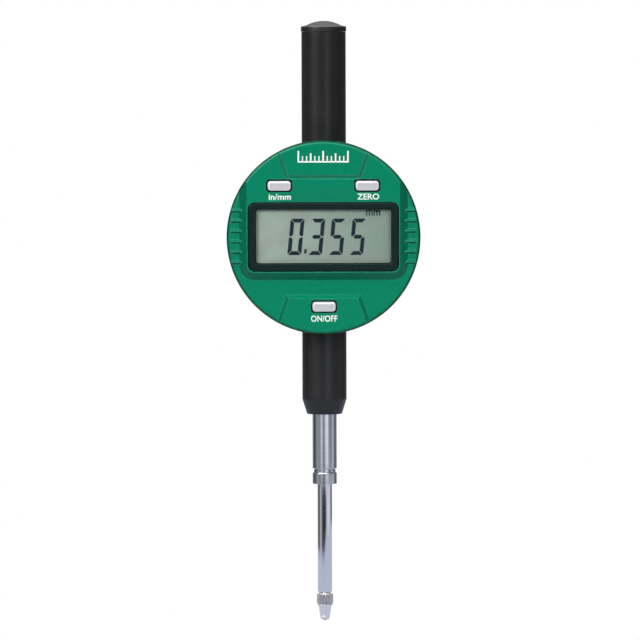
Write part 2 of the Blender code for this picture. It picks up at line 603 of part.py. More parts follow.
def tubes_and_stem(finish):
    tube = [(TUBE_BORE_R, TUBE_BOTTOM), (TUBE_R, TUBE_BOTTOM), (TUBE_R, TUBE_TOP), (TUBE_BORE_R, TUBE_TOP)]
    add("top_tube", turned("top_tube", tube, MEDIUM), finish["tube"])
    edge = TUBE_TOP + 0.3
    rise = CAP_APEX - CAP_EDGE
    dome = [(TUBE_R * cos(t), CAP_EDGE + rise * sin(t)) for t in (0, pi / 8, pi / 4, 3 * pi / 8)]
    plug_r, hollow_r, hollow_top = TUBE_BORE_R - 0.2, 4.4, 135.3
    cap = [(hollow_r, 131.5), (plug_r, 131.5), (plug_r, edge), (TUBE_R, edge), *dome, (0, CAP_APEX)]
    cap += [(0, hollow_top), (hollow_r, hollow_top)]
    add("top_cap", turned("top_cap", cap, MEDIUM), finish["tube"])
    bushing = [
        (RUNNING_R, 93.6), (6.4, 93.6), (6.4, 96.3), (plug_r, 96.3), (plug_r, 100.5), (RUNNING_R, 100.5),
    ]
    add("upper_bushing", turned("upper_bushing", bushing, COARSE), finish["brass"])

    bore = STEM_R + 0.2
    sleeve = [
        (bore, CONE_BOTTOM), (CONE_END_R, CONE_BOTTOM), (TUBE_R, CONE_TOP),
        (TUBE_R, SLEEVE_TOP), (bore, SLEEVE_TOP),
    ]
    add("lower_sleeve", turned("lower_sleeve", sleeve, MEDIUM), finish["tube"])
    wide, narrow, shoulder = 3.4, 2.85, 10.0
    stem = [
        (wide, STEM_BOTTOM), (STEM_R - 0.3, STEM_BOTTOM), (STEM_R, STEM_BOTTOM + 0.3), (STEM_R, STEM_TOP),
        (narrow, STEM_TOP), (narrow, shoulder), (wide, shoulder),
    ]
    add("stem", turned("stem", stem, COARSE), finish["steel"])
    nut = slab("stem_nut", circle(6.3, 6), 39.7, 42.2, "Z", [circle(STEM_R + 0.15, COARSE)])
    add("stem_nut", nut, finish["steel"])
    bushing = [(RUNNING_R, -4.5), (wide - 0.15, -4.5), (wide - 0.15, 9.6), (RUNNING_R, 9.6)]
    add("lower_bushing", turned("lower_bushing", bushing, COARSE), finish["brass"])
    bore, seat_r, seat_top = 2.6, 3.15, -12.0
    collar = [
        (seat_r, COLLAR_BOTTOM), (STEM_R - 0.12, COLLAR_BOTTOM), (STEM_R, COLLAR_BOTTOM + 0.12),
        (STEM_R, COLLAR_TOP - 0.15), (STEM_R - 0.15, COLLAR_TOP), (3.6, COLLAR_TOP), (3.6, STEM_BOTTOM - 0.3),
        (wide - 0.2, STEM_BOTTOM - 0.3), (wide - 0.2, -5.0), (bore, -5.0), (bore, seat_top),
        (seat_r, seat_top),
    ]
    add("stem_collar", turned("stem_collar", collar, COARSE), finish["steel"])
    wiper = [(2.5, -14.2), (3.0, -14.2), (3.0, -12.3), (2.5, -12.3)]
    add("dust_wiper", turned("dust_wiper", wiper, COARSE), finish["rubber"])
    bumper = [(2.7, 43.8), (4.2, 43.8), (4.2, 45.2), (2.7, 45.2)]
    add("lower_stop_ring", turned("lower_stop_ring", bumper, COARSE), finish["rubber"])
    guide = rod("guide_rod", GUIDE_R, HEAD_Z - 25.8, HEAD_Z + 25.8, SMALL, "Z", (GUIDE_X, 0))
    add("guide_rod", guide, finish["steel"])


# ---------------------------------------------------------------- sensor

def sensor(finish):
    outline = [
        (3.4, -21), (3.4, 21), (-13, 21), (-13, 14),
        (-24.6, 14), (-24.6, -14), (-13, -14), (-13, -21),
    ]
    front, rear = 4.8, 5.6
    holes = [circle(0.95, SMALL, (SENSOR_SCREW[0], side * SENSOR_SCREW[1])) for side in (-1, 1)]
    board = slab("sensor_board", outline, front, rear, "Y", holes)
    add("sensor_board", board, finish["board"], (0, 0, HEAD_Z))
    chip = box("sensor_chip", (-21, rear + GAP, -3), (-15, rear + GAP + 1.2, 3))
    add("sensor_chip", chip, finish["chip"], (0, 0, HEAD_Z))
    small_screw = screw_mesh("sensor_board_screw", 1.4, 0.7, 0.6, 2.9)
    for k, side in enumerate((-1, 1), 1):
        spot = (SENSOR_SCREW[0], rear + GAP, HEAD_Z + side * SENSOR_SCREW[1])
        add(f"sensor_board_screw_{k}", small_screw, finish["steel"], spot)
    bends = [((-13.5, 4.35), (-17.5, 4.35), (-20.6, 4.2), (-20.4, 0.5)),
             ((-20.4, 0.5), (-20.2, -3.5), (-20.4, -9.8), (-12.0, -9.75))]
    line = [Vector((*bends[0][0], 0))]
    for bend in bends:
        line += interpolate_bezier(*[Vector((*p, 0)) for p in bend], 9)[1:]
    ribbon_half = 0.13
    edges = {1: [], -1: []}
    for k, point in enumerate(line):
        along = line[min(k + 1, len(line) - 1)] - line[max(k - 1, 0)]
        across = Vector((-along.y, along.x, 0)).normalized() * ribbon_half
        for side, edge in edges.items():
            edge.append(tuple((point + side * across)[:2]))
    ribbon = slab("flex_cable", edges[1] + edges[-1][::-1], -9.0, -4.0, "Z")
    add("flex_cable", ribbon, finish["ribbon"], (0, 0, HEAD_Z))


# ---------------------------------------------------------------- spindle

def spring_curve(name):
    """A compression coil as a bevelled curve, open at both ends."""
    curve = bpy.data.curves.new(name, "CURVE")
    curve.dimensions = "3D"
    curve.bevel_depth = SPRING_WIRE / 2 * MM
    curve.bevel_resolution = 1
    curve.use_fill_caps = True
    per_turn = 10
    count = SPRING_TURNS * per_turn + 1
    line = curve.splines.new("POLY")
    line.points.add(count - 1)
    low, high = SPRING_BOTTOM + SPRING_WIRE / 2, SPRING_TOP - SPRING_WIRE / 2
    for i, point in enumerate(line.points):
        turn, share = 2 * pi * i / per_turn, i / (count - 1)
        place = Vector((SPRING_R * cos(turn), SPRING_R * sin(turn), low + (high - low) * share)) * MM
        point.co = (*place, 1)
    return curve


def spindle_parts(finish):
    axis = joint_empty("spindle_slide_axis", (0, 0, 0))
    thread_r, thread_top = 1.35, SPINDLE_BOTTOM + 6
    rod_profile = [
        (thread_r, SPINDLE_BOTTOM), (SPINDLE_R - 0.2, SPINDLE_BOTTOM), (SPINDLE_R, SPINDLE_BOTTOM + 0.2),
        (SPINDLE_R, SPINDLE_TOP - 0.3), (SPINDLE_R - 0.3, SPINDLE_TOP), (0, SPINDLE_TOP), (0, thread_top),
        (thread_r, thread_top),
    ]
    add("spindle", turned("spindle", rod_profile, COARSE), finish["chrome"], (0, 0, 0), axis)
    neck, neck_r, seat_r, seat_top = SPINDLE_BOTTOM - GAP, 2.1, BALL_R + 0.15, POINT_FOOT + 1.9
    point = [
        (0, thread_top - 0.5), (1.2, thread_top - 0.5), (1.2, neck), (neck_r, neck), (neck_r, neck - 0.15),
        (KNURL_R, KNURL_TOP), (KNURL_R, KNURL_BOTTOM), (2.45, KNURL_BOTTOM - 0.9),
        (CONE_SHOULDER_R, KNURL_BOTTOM - 1.7), (POINT_FOOT_R, POINT_FOOT), (seat_r, POINT_FOOT),
        (seat_r, seat_top), (0, seat_top),
    ]
    add("contact_point", turned("contact_point", point, COARSE), finish["steel"], (0, 0, 0), axis)
    centre = TIP_BOTTOM + BALL_R
    ball = [(BALL_R * sin(t), centre + BALL_R * cos(t)) for t in [pi * k / 8 for k in range(1, 8)]]
    ball = [(0, centre + BALL_R), *ball, (0, TIP_BOTTOM)]
    add("contact_ball", turned("contact_ball", ball, SMALL), finish["carbide"], (0, 0, 0), axis)

    block = [
        (-12.6, -3.4), (2.8, -3.4), (3.4, -2.8), (3.4, 2.8),
        (2.8, 3.4), (-12.6, 3.4), (-13.0, 3.0), (-13.0, -3.0),
    ]
    holes = [circle(RUNNING_R, COARSE), circle(GUIDE_R + 0.2, SMALL, (GUIDE_X, 0))]
    carriage = slab("carriage", block, CARRIAGE_BOTTOM, CARRIAGE_TOP, "Z", holes)
    middle = (CARRIAGE_BOTTOM + CARRIAGE_TOP) / 2
    carriage = combined(carriage, [rod("clamp_hole", 0.9, -6, -1.5, SMALL, "Y", (0, middle))], "cut")
    add("carriage", carriage, finish["holder"], (0, 0, 0), axis)
    clamp = screw_mesh("carriage_screw", 1.8, 0.9, 0.7, 1.2)
    clamp.transform(Matrix.Rotation(pi, 4, "Z"))
    add("carriage_screw", clamp, finish["steel"], (0, -3.7, middle), axis)
    plate = box("scale_plate", (-6.0, 3.7, CARRIAGE_BOTTOM), (3.0, 4.3, CARRIAGE_TOP))
    add("scale_plate", plate, finish["board"], (0, 0, 0), axis)
    seat = [(RUNNING_R, 101.0), (4.6, 101.0), (4.6, 102.4), (RUNNING_R, 102.4)]
    add("spring_seat", turned("spring_seat", seat, COARSE), finish["steel"], (0, 0, 0), axis)
    curve = spring_curve("spindle_spring")
    curve.materials.append(finish["steel"])
    spring = bpy.data.objects.new("spindle_spring", curve)
    bpy.context.scene.collection.objects.link(spring)
    spring.parent = axis


def main():
    for old in list(bpy.data.objects):
        bpy.data.objects.remove(old)
    finish = {
        "green": material("green_plastic", (0.006, 0.22, 0.13), 0.35),
        "bezel": material("bezel_plastic", (0.018, 0.02, 0.02), 0.3),
        "clear": material("clear_window", (0.9, 0.95, 0.92), 0.05),
        "lcd": material("lcd_glass", (0.3, 0.38, 0.33), 0.25),
        "key": material("key_plastic", (0.56, 0.56, 0.6), 0.35),
        "case": material("case_paint", (0.02, 0.02, 0.02), 0.5),
        "tube": material("black_tube", (0.02, 0.02, 0.018), 0.4),
        "steel": material("bright_steel", (0.55, 0.56, 0.58), 0.25, 1.0),
        "chrome": material("hard_chrome", (0.75, 0.76, 0.78), 0.08, 1.0),
        "nickel": material("nickel", (0.6, 0.58, 0.54), 0.25, 1.0),
        "carbide": material("carbide", (0.35, 0.35, 0.36), 0.2, 1.0),
        "brass": material("brass", (0.6, 0.42, 0.16), 0.3, 1.0),
        "rubber": material("black_rubber", (0.015, 0.015, 0.015), 0.7),
        "elastomer": material("grey_elastomer", (0.25, 0.25, 0.27), 0.6),
        "holder": material("holder_plastic", (0.6, 0.6, 0.56), 0.5),
        "board": material("circuit_board", (0.02, 0.12, 0.05), 0.4),
        "chip": material("chip_epoxy", (0.02, 0.02, 0.02), 0.5),
        "ribbon": material("ribbon_film", (0.5, 0.25, 0.05), 0.4),
    }
    dial_head(finish)
    case_and_back(finish)
    battery_parts(finish)
    tubes_and_stem(finish)
    sensor(finish)
    spindle_parts(finish)


main()
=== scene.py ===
"""Looks of a digital dial indicator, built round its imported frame.

The frame is +Z up with the spindle on the Z axis, and the dial faces -Y. Lengths here are in
millimetres, and MM turns them into the metres that the frame uses. Places come from the boxes of
the frame's nodes; what those can't say, such as the width of a groove, is a named value.
"""

import json
from math import cos, hypot, pi, radians, sin, tan

import bmesh
import bpy
from mathutils import Matrix, Vector


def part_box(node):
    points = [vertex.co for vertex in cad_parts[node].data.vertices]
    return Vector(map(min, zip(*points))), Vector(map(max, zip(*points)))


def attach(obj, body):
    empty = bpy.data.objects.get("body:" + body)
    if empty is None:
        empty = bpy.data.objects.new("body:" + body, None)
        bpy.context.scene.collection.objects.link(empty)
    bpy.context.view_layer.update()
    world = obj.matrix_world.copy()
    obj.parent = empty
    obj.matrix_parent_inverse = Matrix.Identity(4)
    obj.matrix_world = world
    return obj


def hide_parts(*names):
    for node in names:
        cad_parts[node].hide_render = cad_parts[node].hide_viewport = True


MM = 0.001
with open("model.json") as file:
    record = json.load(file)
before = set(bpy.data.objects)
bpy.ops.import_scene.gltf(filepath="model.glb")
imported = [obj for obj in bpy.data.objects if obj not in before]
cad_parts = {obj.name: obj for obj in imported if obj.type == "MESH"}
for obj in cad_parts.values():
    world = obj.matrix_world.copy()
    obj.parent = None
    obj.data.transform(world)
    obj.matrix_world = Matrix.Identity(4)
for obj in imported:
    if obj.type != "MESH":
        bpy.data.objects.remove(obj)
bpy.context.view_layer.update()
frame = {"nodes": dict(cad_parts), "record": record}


def span(node):
    """A node's lowest and highest corners in millimetres."""
    low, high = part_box(node)
    return low / MM, high / MM


def middle(node):
    low, high = span(node)
    return [(a + b) / 2 for a, b in zip(low, high)]


def radius_of(node):
    low, high = span(node)
    return (high.x - low.x) / 2


# ---------------------------------------------------------------- sizes read from the frame

cover_low, cover_high = span("front_cover")
HEAD_R, HEAD_Z = radius_of("front_cover"), middle("front_cover")[2]
COVER_REAR = cover_high.y
UPPER_PANEL_FACE = cover_low.y
PLATEAU_FACE = UPPER_PANEL_FACE + 0.3
BASE_FACE = PLATEAU_FACE + 2.5
PANEL_FACE = BASE_FACE - 1.3
COVER_INSIDE = -14.0
COVER_BORE_R = HEAD_R - 2.5
RIM_ROUND = 1.4
PLATEAU_HALF_WIDTH, PLATEAU_BOTTOM = 25.3, -11.5
PLATEAU_SLOPE, PLATEAU_CORNER = 2.5, 2.4
RIB_COUNT, RIB_PITCH, RIB_TOP = 6, 3.42, 8.95
RIB_SPAN, RIB_HEIGHT, RIB_PROUD = (26.4, 30.55), 1.45, 1.15
BUTTONS = ("unit_button", "zero_button", "power_button")
BUTTON_GAP = 0.48

# Steps round a circle
FINE, MEDIUM, COARSE = 192, 96, 48
CENTRE = (0.0, 0.0, HEAD_Z)


# ---------------------------------------------------------------- shapes

def in_scene(name, data):
    made = bpy.data.objects.new(name, data)
    bpy.context.scene.collection.objects.link(made)
    return made


def final_mesh(made):
    """A copy of an object's mesh after its modifiers."""
    bpy.context.view_layer.update()
    return bpy.data.meshes.new_from_object(made.evaluated_get(bpy.context.evaluated_depsgraph_get()))


def raw_mesh(name, points, faces):
    """A mesh in metres from points in millimetres."""
    mesh = bpy.data.meshes.new(name)
    mesh.from_pydata([Vector(p) * MM for p in points], [], faces)
    return mesh


def outward(mesh, weld=False):
    """Turns a mesh's faces outwards, and joins the points that meet where weld is on."""
    shape = bmesh.new()
    shape.from_mesh(mesh)
    if weld:
        bmesh.ops.remove_doubles(shape, verts=shape.verts, dist=1e-7)
    bmesh.ops.recalc_face_normals(shape, faces=shape.faces)
    shape.to_mesh(mesh)
    shape.free()
    return mesh


def mesh_from(name, points, faces):
    return outward(raw_mesh(name, points, faces))


def quarter(steps, radius):
    """Along a quarter round: how far in from the face, and how far in from the outline."""
    turns = [pi / 2 * k / steps for k in range(steps + 1)]
    return [(radius * (1 - sin(t)), radius * (1 - cos(t))) for t in turns]


def eased(corners, steps=4, closed=True):
    """A line through (u, v) or (u, v, radius) corners, with an arc at each corner that has a radius."""
    line, count = [], len(corners)
    for k, corner in enumerate(corners):
        here = Vector(corner[:2])
        radius = corner[2] if len(corner) > 2 else 0
        if not radius or (not closed and k in (0, count - 1)):
            line.append(tuple(here))
            continue
        back = (Vector(corners[k - 1][:2]) - here).normalized()
        ahead = (Vector(corners[(k + 1) % count][:2]) - here).normalized()
        half = back.angle(ahead) / 2
        reach = radius / tan(half)
        start, end = here + back * reach, here + ahead * reach
        middle = here + (back + ahead).normalized() * (radius / sin(half))
        a, b = start - middle, end - middle
        turn = a.angle(b)
        for i in range(steps + 1):
            t = i / steps
            spoke = (a * sin((1 - t) * turn) + b * sin(t * turn)) / sin(turn)
            line.append(tuple(middle + spoke))
    return line


def turned(name, profile, steps=MEDIUM, axis="Z", wave=None):
    """A closed (radius, height) profile turned round an axis. wave(turn, height) is added to each radius."""
    points, rings = [], []
    for radius, height in profile:
        on_axis = radius < 1e-6
        count = 1 if on_axis else steps
        rings.append([len(points) + i for i in range(count)])
        for i in range(count):
            turn = 2 * pi * i / steps
            reach = radius + (wave(turn, height, radius) if wave and not on_axis else 0)
            points.append((reach * cos(turn), reach * sin(turn), height))
    faces = []
    for this, other in zip(rings, rings[1:] + rings[:1]):
        for i in range(steps):
            j = (i + 1) % steps
            corners = [this[i % len(this)], this[j % len(this)]]
            corners += [other[j % len(other)], other[i % len(other)]]
            corners = list(dict.fromkeys(corners))
            if len(corners) > 2:
                faces.append(corners)
    mesh = mesh_from(name, points, faces)
    if axis == "Y":
        mesh.transform(Matrix(((1, 0, 0, 0), (0, 0, 1, 0), (0, 1, 0, 0), (0, 0, 0, 1))))
        mesh.flip_normals()
    return mesh


def lofted(name, sections, closed=False, axis="Y"):
    """Outlines of equal length at (depth, outline) joined one to the next. X takes (y, z), Y takes (x, z)."""
    places = {"X": lambda u, v, d: (d, u, v), "Y": lambda u, v, d: (u, d, v), "Z": lambda u, v, d: (u, v, d)}
    place = places[axis]
    count = len(sections[0][1])
    points = [place(u, v, depth) for depth, outline in sections for u, v in outline]
    faces = []
    pairs = [(k, k + 1) for k in range(len(sections) - 1)]
    if closed:
        pairs.append((len(sections) - 1, 0))
    else:
        last = (len(sections) - 1) * count
        faces = [tuple(range(count)), tuple(last + i for i in reversed(range(count)))]
    for k, m in pairs:
        for i in range(count):
            j = (i + 1) % count
            faces.append((k * count + i, k * count + j, m * count + j, m * count + i))
    return mesh_from(name, points, faces)


def circle(radius, steps, centre=(0, 0)):
    turns = [2 * pi * (i + 0.5) / steps for i in range(steps)]
    return [(centre[0] + radius * cos(t), centre[1] + radius * sin(t)) for t in turns]


def rounded(width, height, radius, centre=(0, 0), corner_steps=8):
    """A rectangle with round corners, anticlockwise."""
    outline = []
    for k, (sx, sy) in enumerate(((1, 1), (-1, 1), (-1, -1), (1, -1))):
        cx, cy = centre[0] + sx * (width / 2 - radius), centre[1] + sy * (height / 2 - radius)
        for i in range(corner_steps + 1):
            turn = pi / 2 * (k + i / corner_steps)
            outline.append((cx + radius * cos(turn), cy + radius * sin(turn)))
    return outline


def grown(size, radius, centre, by):
    """A rectangle with round corners whose sides have moved out by that much."""
    return rounded(size[0] + 2 * by, size[1] + 2 * by, radius + by, centre)


def rectangle(left, bottom, right, top):
    return [(left, bottom), (right, bottom), (right, top), (left, top)]


def combined(mesh, tools, operation):
    """The mesh after a Boolean with each tool mesh, all of them round the same origin."""
    names = {"join": "UNION", "cut": "DIFFERENCE", "keep": "INTERSECT"}
    target = in_scene(mesh.name, mesh)
    helpers = [in_scene(tool.name, tool) for tool in tools]
    for helper in helpers:
        step = target.modifiers.new(helper.name, "BOOLEAN")
        step.operation, step.solver, step.object = names[operation], "EXACT", helper
    made = final_mesh(target)
    made.name = mesh.name
    for spent in (target, *helpers):
        bpy.data.objects.remove(spent)
    return made


def moved(mesh, offset):
    mesh.transform(Matrix.Translation(Vector(offset) * MM))
    return mesh


def polar(radius, degrees):
    return radius * cos(radians(degrees)), radius * sin(radians(degrees))


SAME_AREA = 1e-9        # square metres: faces of nearly one area count alike in a corner's normal


def piece(name, mesh, finish, body, node=None, at=(0, 0, 0), sharp=34, weighted=True):
    """Puts a visible piece in the scene on its body, in place of a node, with its flat faces kept flat."""
    slot, material = FINISH[finish]
    mesh.shade_smooth()
    mesh.set_sharp_from_angle(angle=radians(sharp))
    mesh.materials.clear()
    mesh.materials.append(material)
    made = in_scene(name, moved(mesh, at))
    if weighted:
        normals = made.modifiers.new("flat_faces", "WEIGHTED_NORMAL")
        normals.keep_sharp, normals.weight, normals.thresh = True, 80, SAME_AREA
    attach(made, body)
    if node:
        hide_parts(node)


def turned_piece(name, profile, finish, body, node, steps=FINE, **settings):
    piece(name, turned(name, profile, steps), finish, body, node, **settings)


# ---------------------------------------------------------------- finishes

class Graph:
    """Short names for the nodes of a material, or of a world."""

    def __init__(self, name, kind="materials"):
        self.owner = getattr(bpy.data, kind).new(name)
        self.owner.use_nodes = True
        self.nodes, self.links = self.owner.node_tree.nodes, self.owner.node_tree.links
        self.shader = self.nodes.get("Principled BSDF")

    def put(self, socket, value):
        if isinstance(value, bpy.types.NodeSocket):
            self.links.new(value, socket)
        else:
            socket.default_value = value

    def add(self, kind, inputs=(), output=0, **settings):
        node = self.nodes.new("ShaderNode" + kind)
        for key, value in settings.items():
            setattr(node, key, value)
        for key, value in dict(inputs).items():
            self.put(node.inputs[key], value)
        return node.outputs[output]

    def place(self, stretch=(1, 1, 1)):
        """Object coordinates in millimetres, stretched along each axis."""
        where = self.add("TexCoord", output="Object")
        scale = [1 / MM / s for s in stretch]
        return self.add("Mapping", {"Vector": where, "Scale": scale})

    def noise(self, size, detail=3.0, rough=0.55, stretch=(1, 1, 1)):
        """Noise between 0 and 1 with features of about that many millimetres."""
        inputs = {"Vector": self.place(stretch), "Scale": 1 / size, "Detail": detail, "Roughness": rough}
        return self.add("TexNoise", inputs, "Fac")

    def split(self, vector):
        node = self.nodes.new("ShaderNodeSeparateXYZ")
        self.put(node.inputs[0], vector)
        return node.outputs

    def vectors(self, operation, first, second=(0, 0, 0), output=0):
        return self.add("VectorMath", {0: first, 1: second}, output, operation=operation)

    def range(self, value, low, high, to_low=0.0, to_high=1.0):
        inputs = {"Value": value, "From Min": low, "From Max": high, "To Min": to_low, "To Max": to_high}
        return self.add("MapRange", inputs)

    def blend(self, share, first, second, mode="MIX"):
        node = self.nodes.new("ShaderNodeMix")
        node.data_type, node.blend_type = "RGBA", mode
        self.put(node.inputs["Factor"], share)
        self.put(node.inputs["A"], first)
        self.put(node.inputs["B"], second)
        return node.outputs["Result"]

    def maths(self, operation, *values):
        node = self.nodes.new("ShaderNodeMath")
        node.operation = operation
        for socket, value in zip(node.inputs, values):
            self.put(socket, value)
        return node.outputs[0]

    def toned(self, colour, level):
        grey = self.add("CombineColor", {0: level, 1: level, 2: level})
        return self.blend(1.0, colour, grey, "MULTIPLY")

    def surface(self, **inputs):
        """Gives the shader its inputs, such as Base_Color, and returns the material."""
        for key, value in inputs.items():
            self.put(self.shader.inputs[key.replace("_", " ")], value)
        return self.owner

    def times(self, *values):
        return self.maths("MULTIPLY", *values)

    def edges(self, radius):
        """1 along edges rounder than that many millimetres, 0 on flat faces."""
        soft = self.add("Bevel", {"Radius": radius * MM}, samples=6)
        true = self.add("NewGeometry", output="Normal")
        return self.range(self.vectors("DOT_PRODUCT", soft, true, "Value"), 0.995, 0.90)

    def bump(self, height, depth):
        return self.add("Bump", {"Height": height, "Distance": depth * MM, "Strength": 1.0})

    def ray(self, kind):
        return self.add("LightPath", output=kind)


def colour4(colour):
    return (*colour, 1.0)


def shaded(colour, by):
    return colour4([min(1.0, c * by) for c in colour])


def plastic(name, colour, roughness, grain=0.12, grain_depth=0.004, mottle=0.06, wear_and_highlight=None, edge=0.25,
            specular=0.5, slope_light_and_shade=1.0, upward_painted_light=1.0, sides=1.0, rim=None):
    """Moulded or painted surface: fine grain, slow colour drift, and rubbed edges in a paler colour, partly
    wear and partly a painted highlight on rounded edges.

    Surfaces that turn away from the dial's face are multiplied by slopes, or by raised where they look up,
    and those
    square to it by sides as well: painted shade where a factor is below one, painted light where it is above
    one.
    rim is (height, radius, depth, tone): painted shade of that tone on a band at the front edge of a disc,
    outside that radius and in front of that depth.
    """
    g = Graph(name)
    drift = g.blend(g.noise(9.0, 2.0), shaded(colour, 1 - mottle), shaded(colour, 1 + mottle))
    speck = g.range(g.noise(0.5, 4.0), 0.35, 0.65)
    drift = g.blend(g.times(speck, 0.35), drift, shaded(colour, 1 - 1.5 * mottle))
    # Paler edges: partly wear, partly a painted highlight where rounded edges catch the light.
    if wear_and_highlight:
        wear_and_highlight_share = g.times(g.edges(edge), g.range(g.noise(1.6, 4.0), 0.3, 0.65, 0.25, 1.0))
        drift = g.blend(wear_and_highlight_share, drift, colour4(wear_and_highlight))
    # Painted light and shade by facing: slopes and square walls darker, faces that look up lighter, as the
    # factors say.
    if slope_light_and_shade != 1 or upward_painted_light != 1:
        facing = g.split(g.add("TexCoord", output="Normal"))
        square = g.maths("ABSOLUTE", facing["Y"])
        steep = g.range(square, 0.97, 0.85)
        tone = g.range(facing["Z"], 0.15, 0.45, slope_light_and_shade, upward_painted_light)
        level = g.maths("MULTIPLY_ADD", steep, g.maths("SUBTRACT", tone, 1.0), 1.0)
        drift = g.toned(drift, g.times(level, g.range(square, 0.45, 0.2, 1.0, sides)))
    # Painted shade: a darker band at the outer front edge of a rounded rim.
    if rim:
        height, radius, depth, tone = rim
        spoke = g.vectors("SUBTRACT", g.place(), (0, 0, height))
        spoke = g.vectors("LENGTH", g.vectors("MULTIPLY", spoke, (1, 0, 1)), output="Value")
        level = g.range(spoke, radius - 0.12, radius + 0.12, 1.0, tone)
        skirt = g.range(g.split(g.place())["Y"], depth, depth + 0.5)
        drift = g.toned(drift, g.maths("MAXIMUM", level, skirt))
    smudge = g.range(g.noise(5.0, 3.0), 0.3, 0.7, roughness * 0.88, roughness * 1.12)
    return g.surface(Base_Color=drift, Roughness=smudge, Specular_IOR_Level=specular,
                     Normal=g.bump(g.noise(grain, 3.0, 0.6), grain_depth))


def metal(name, colour, roughness, lay="rings", depth=0.0015, mottle=0.05, pitch=0.06, wear_and_highlight=None,
          edge=0.15, shade_band=None):
    """Turned or ground metal. Its marks run round the Z axis (rings), round Y (face) or nowhere (cast).

    dull is (low, high, tone): a band between two heights darkened by that tone, as painted shade in a knurl's
    grooves.
    """
    g = Graph(name)
    long = 30.0
    stretch = {"rings": (long, long, 1), "face": (1, long, 1), "cast": (1, 1, 1)}[lay]
    marks = g.noise(pitch, 2.0, 0.6, stretch)
    bands = g.noise(pitch * 14, 3.0, 0.6, stretch)
    tone = g.blend(g.range(bands, 0.3, 0.7), shaded(colour, 1 - mottle), shaded(colour, 1 + mottle))
    if wear_and_highlight:
        tone = g.blend(g.times(g.edges(edge), 0.7), tone, colour4(wear_and_highlight))
    # Painted shade: a darker band between two heights.
    if shade_band:
        low, high, share = shade_band
        height = g.split(g.place())["Z"]
        above, below = g.range(height, low - 0.1, low + 0.1), g.range(height, high + 0.1, high - 0.1)
        inside = g.times(above, below)
        tone = g.blend(inside, tone, g.blend(1.0, tone, colour4((share,) * 3), "MULTIPLY"))
    haze = g.maths("ADD", g.range(marks, 0.3, 0.7, roughness * 0.85, roughness * 1.15),
                   g.range(g.noise(3.0, 3.0), 0.4, 0.8, 0.0, roughness * 0.25))
    return g.surface(Base_Color=tone, Metallic=1.0, Roughness=haze, Normal=g.bump(marks, depth))


def display_finish():
    """The display's grey-green reflector with fine film streaks, its colour painted paler towards its left
    side as painted light from that side.
    """
    g = Graph("display_film")
    x = g.split(g.place())["X"]
    # Painted light: the colour pales towards the left side, where the light comes from, with a wandering
    # edge.
    across = g.range(g.maths("ADD", x, g.range(g.noise(16.0, 2.0), 0.0, 1.0, -7.0, 7.0)), -22.0, 22.0)
    tone = g.blend(across, (0.385, 0.485, 0.425, 1), (0.235, 0.335, 0.28, 1))
    tint = g.range(g.noise(7.0, 2.0), 0.42, 0.62, 0.0, 0.5)
    tone = g.blend(tint, tone, (0.31, 0.335, 0.315, 1))
    streaks = g.range(g.noise(2.0, 3.0, 0.6, (6, 1, 1)), 0.3, 0.7, 0.30, 0.42)
    return g.surface(Base_Color=tone, Roughness=streaks, Normal=g.bump(g.noise(0.15, 2.0), 0.001))


def window_finish():
    """Clear acrylic: a faint mirror with fine wipe marks."""
    g = Graph("window_acrylic")
    wipes = g.range(g.noise(3.0, 4.0, 0.7, (5, 1, 1)), 0.35, 0.75, 0.03, 0.12)
    return g.surface(Base_Color=(0.03, 0.035, 0.033, 1), Alpha=0.05, Specular_IOR_Level=0.4,
                     Roughness=wipes, Normal=g.bump(g.noise(6.0, 2.0), 0.004))


SPINDLE_END = span("spindle")[0].z
KNURL_TOP, KNURL_BOTTOM = SPINDLE_END - 0.85, SPINDLE_END - 3.35
# The knurled stretch of the contact point, darkened as painted shade in its grooves.
KNURL_SHADE_BAND = (KNURL_BOTTOM - 0.9, KNURL_TOP, 0.62)
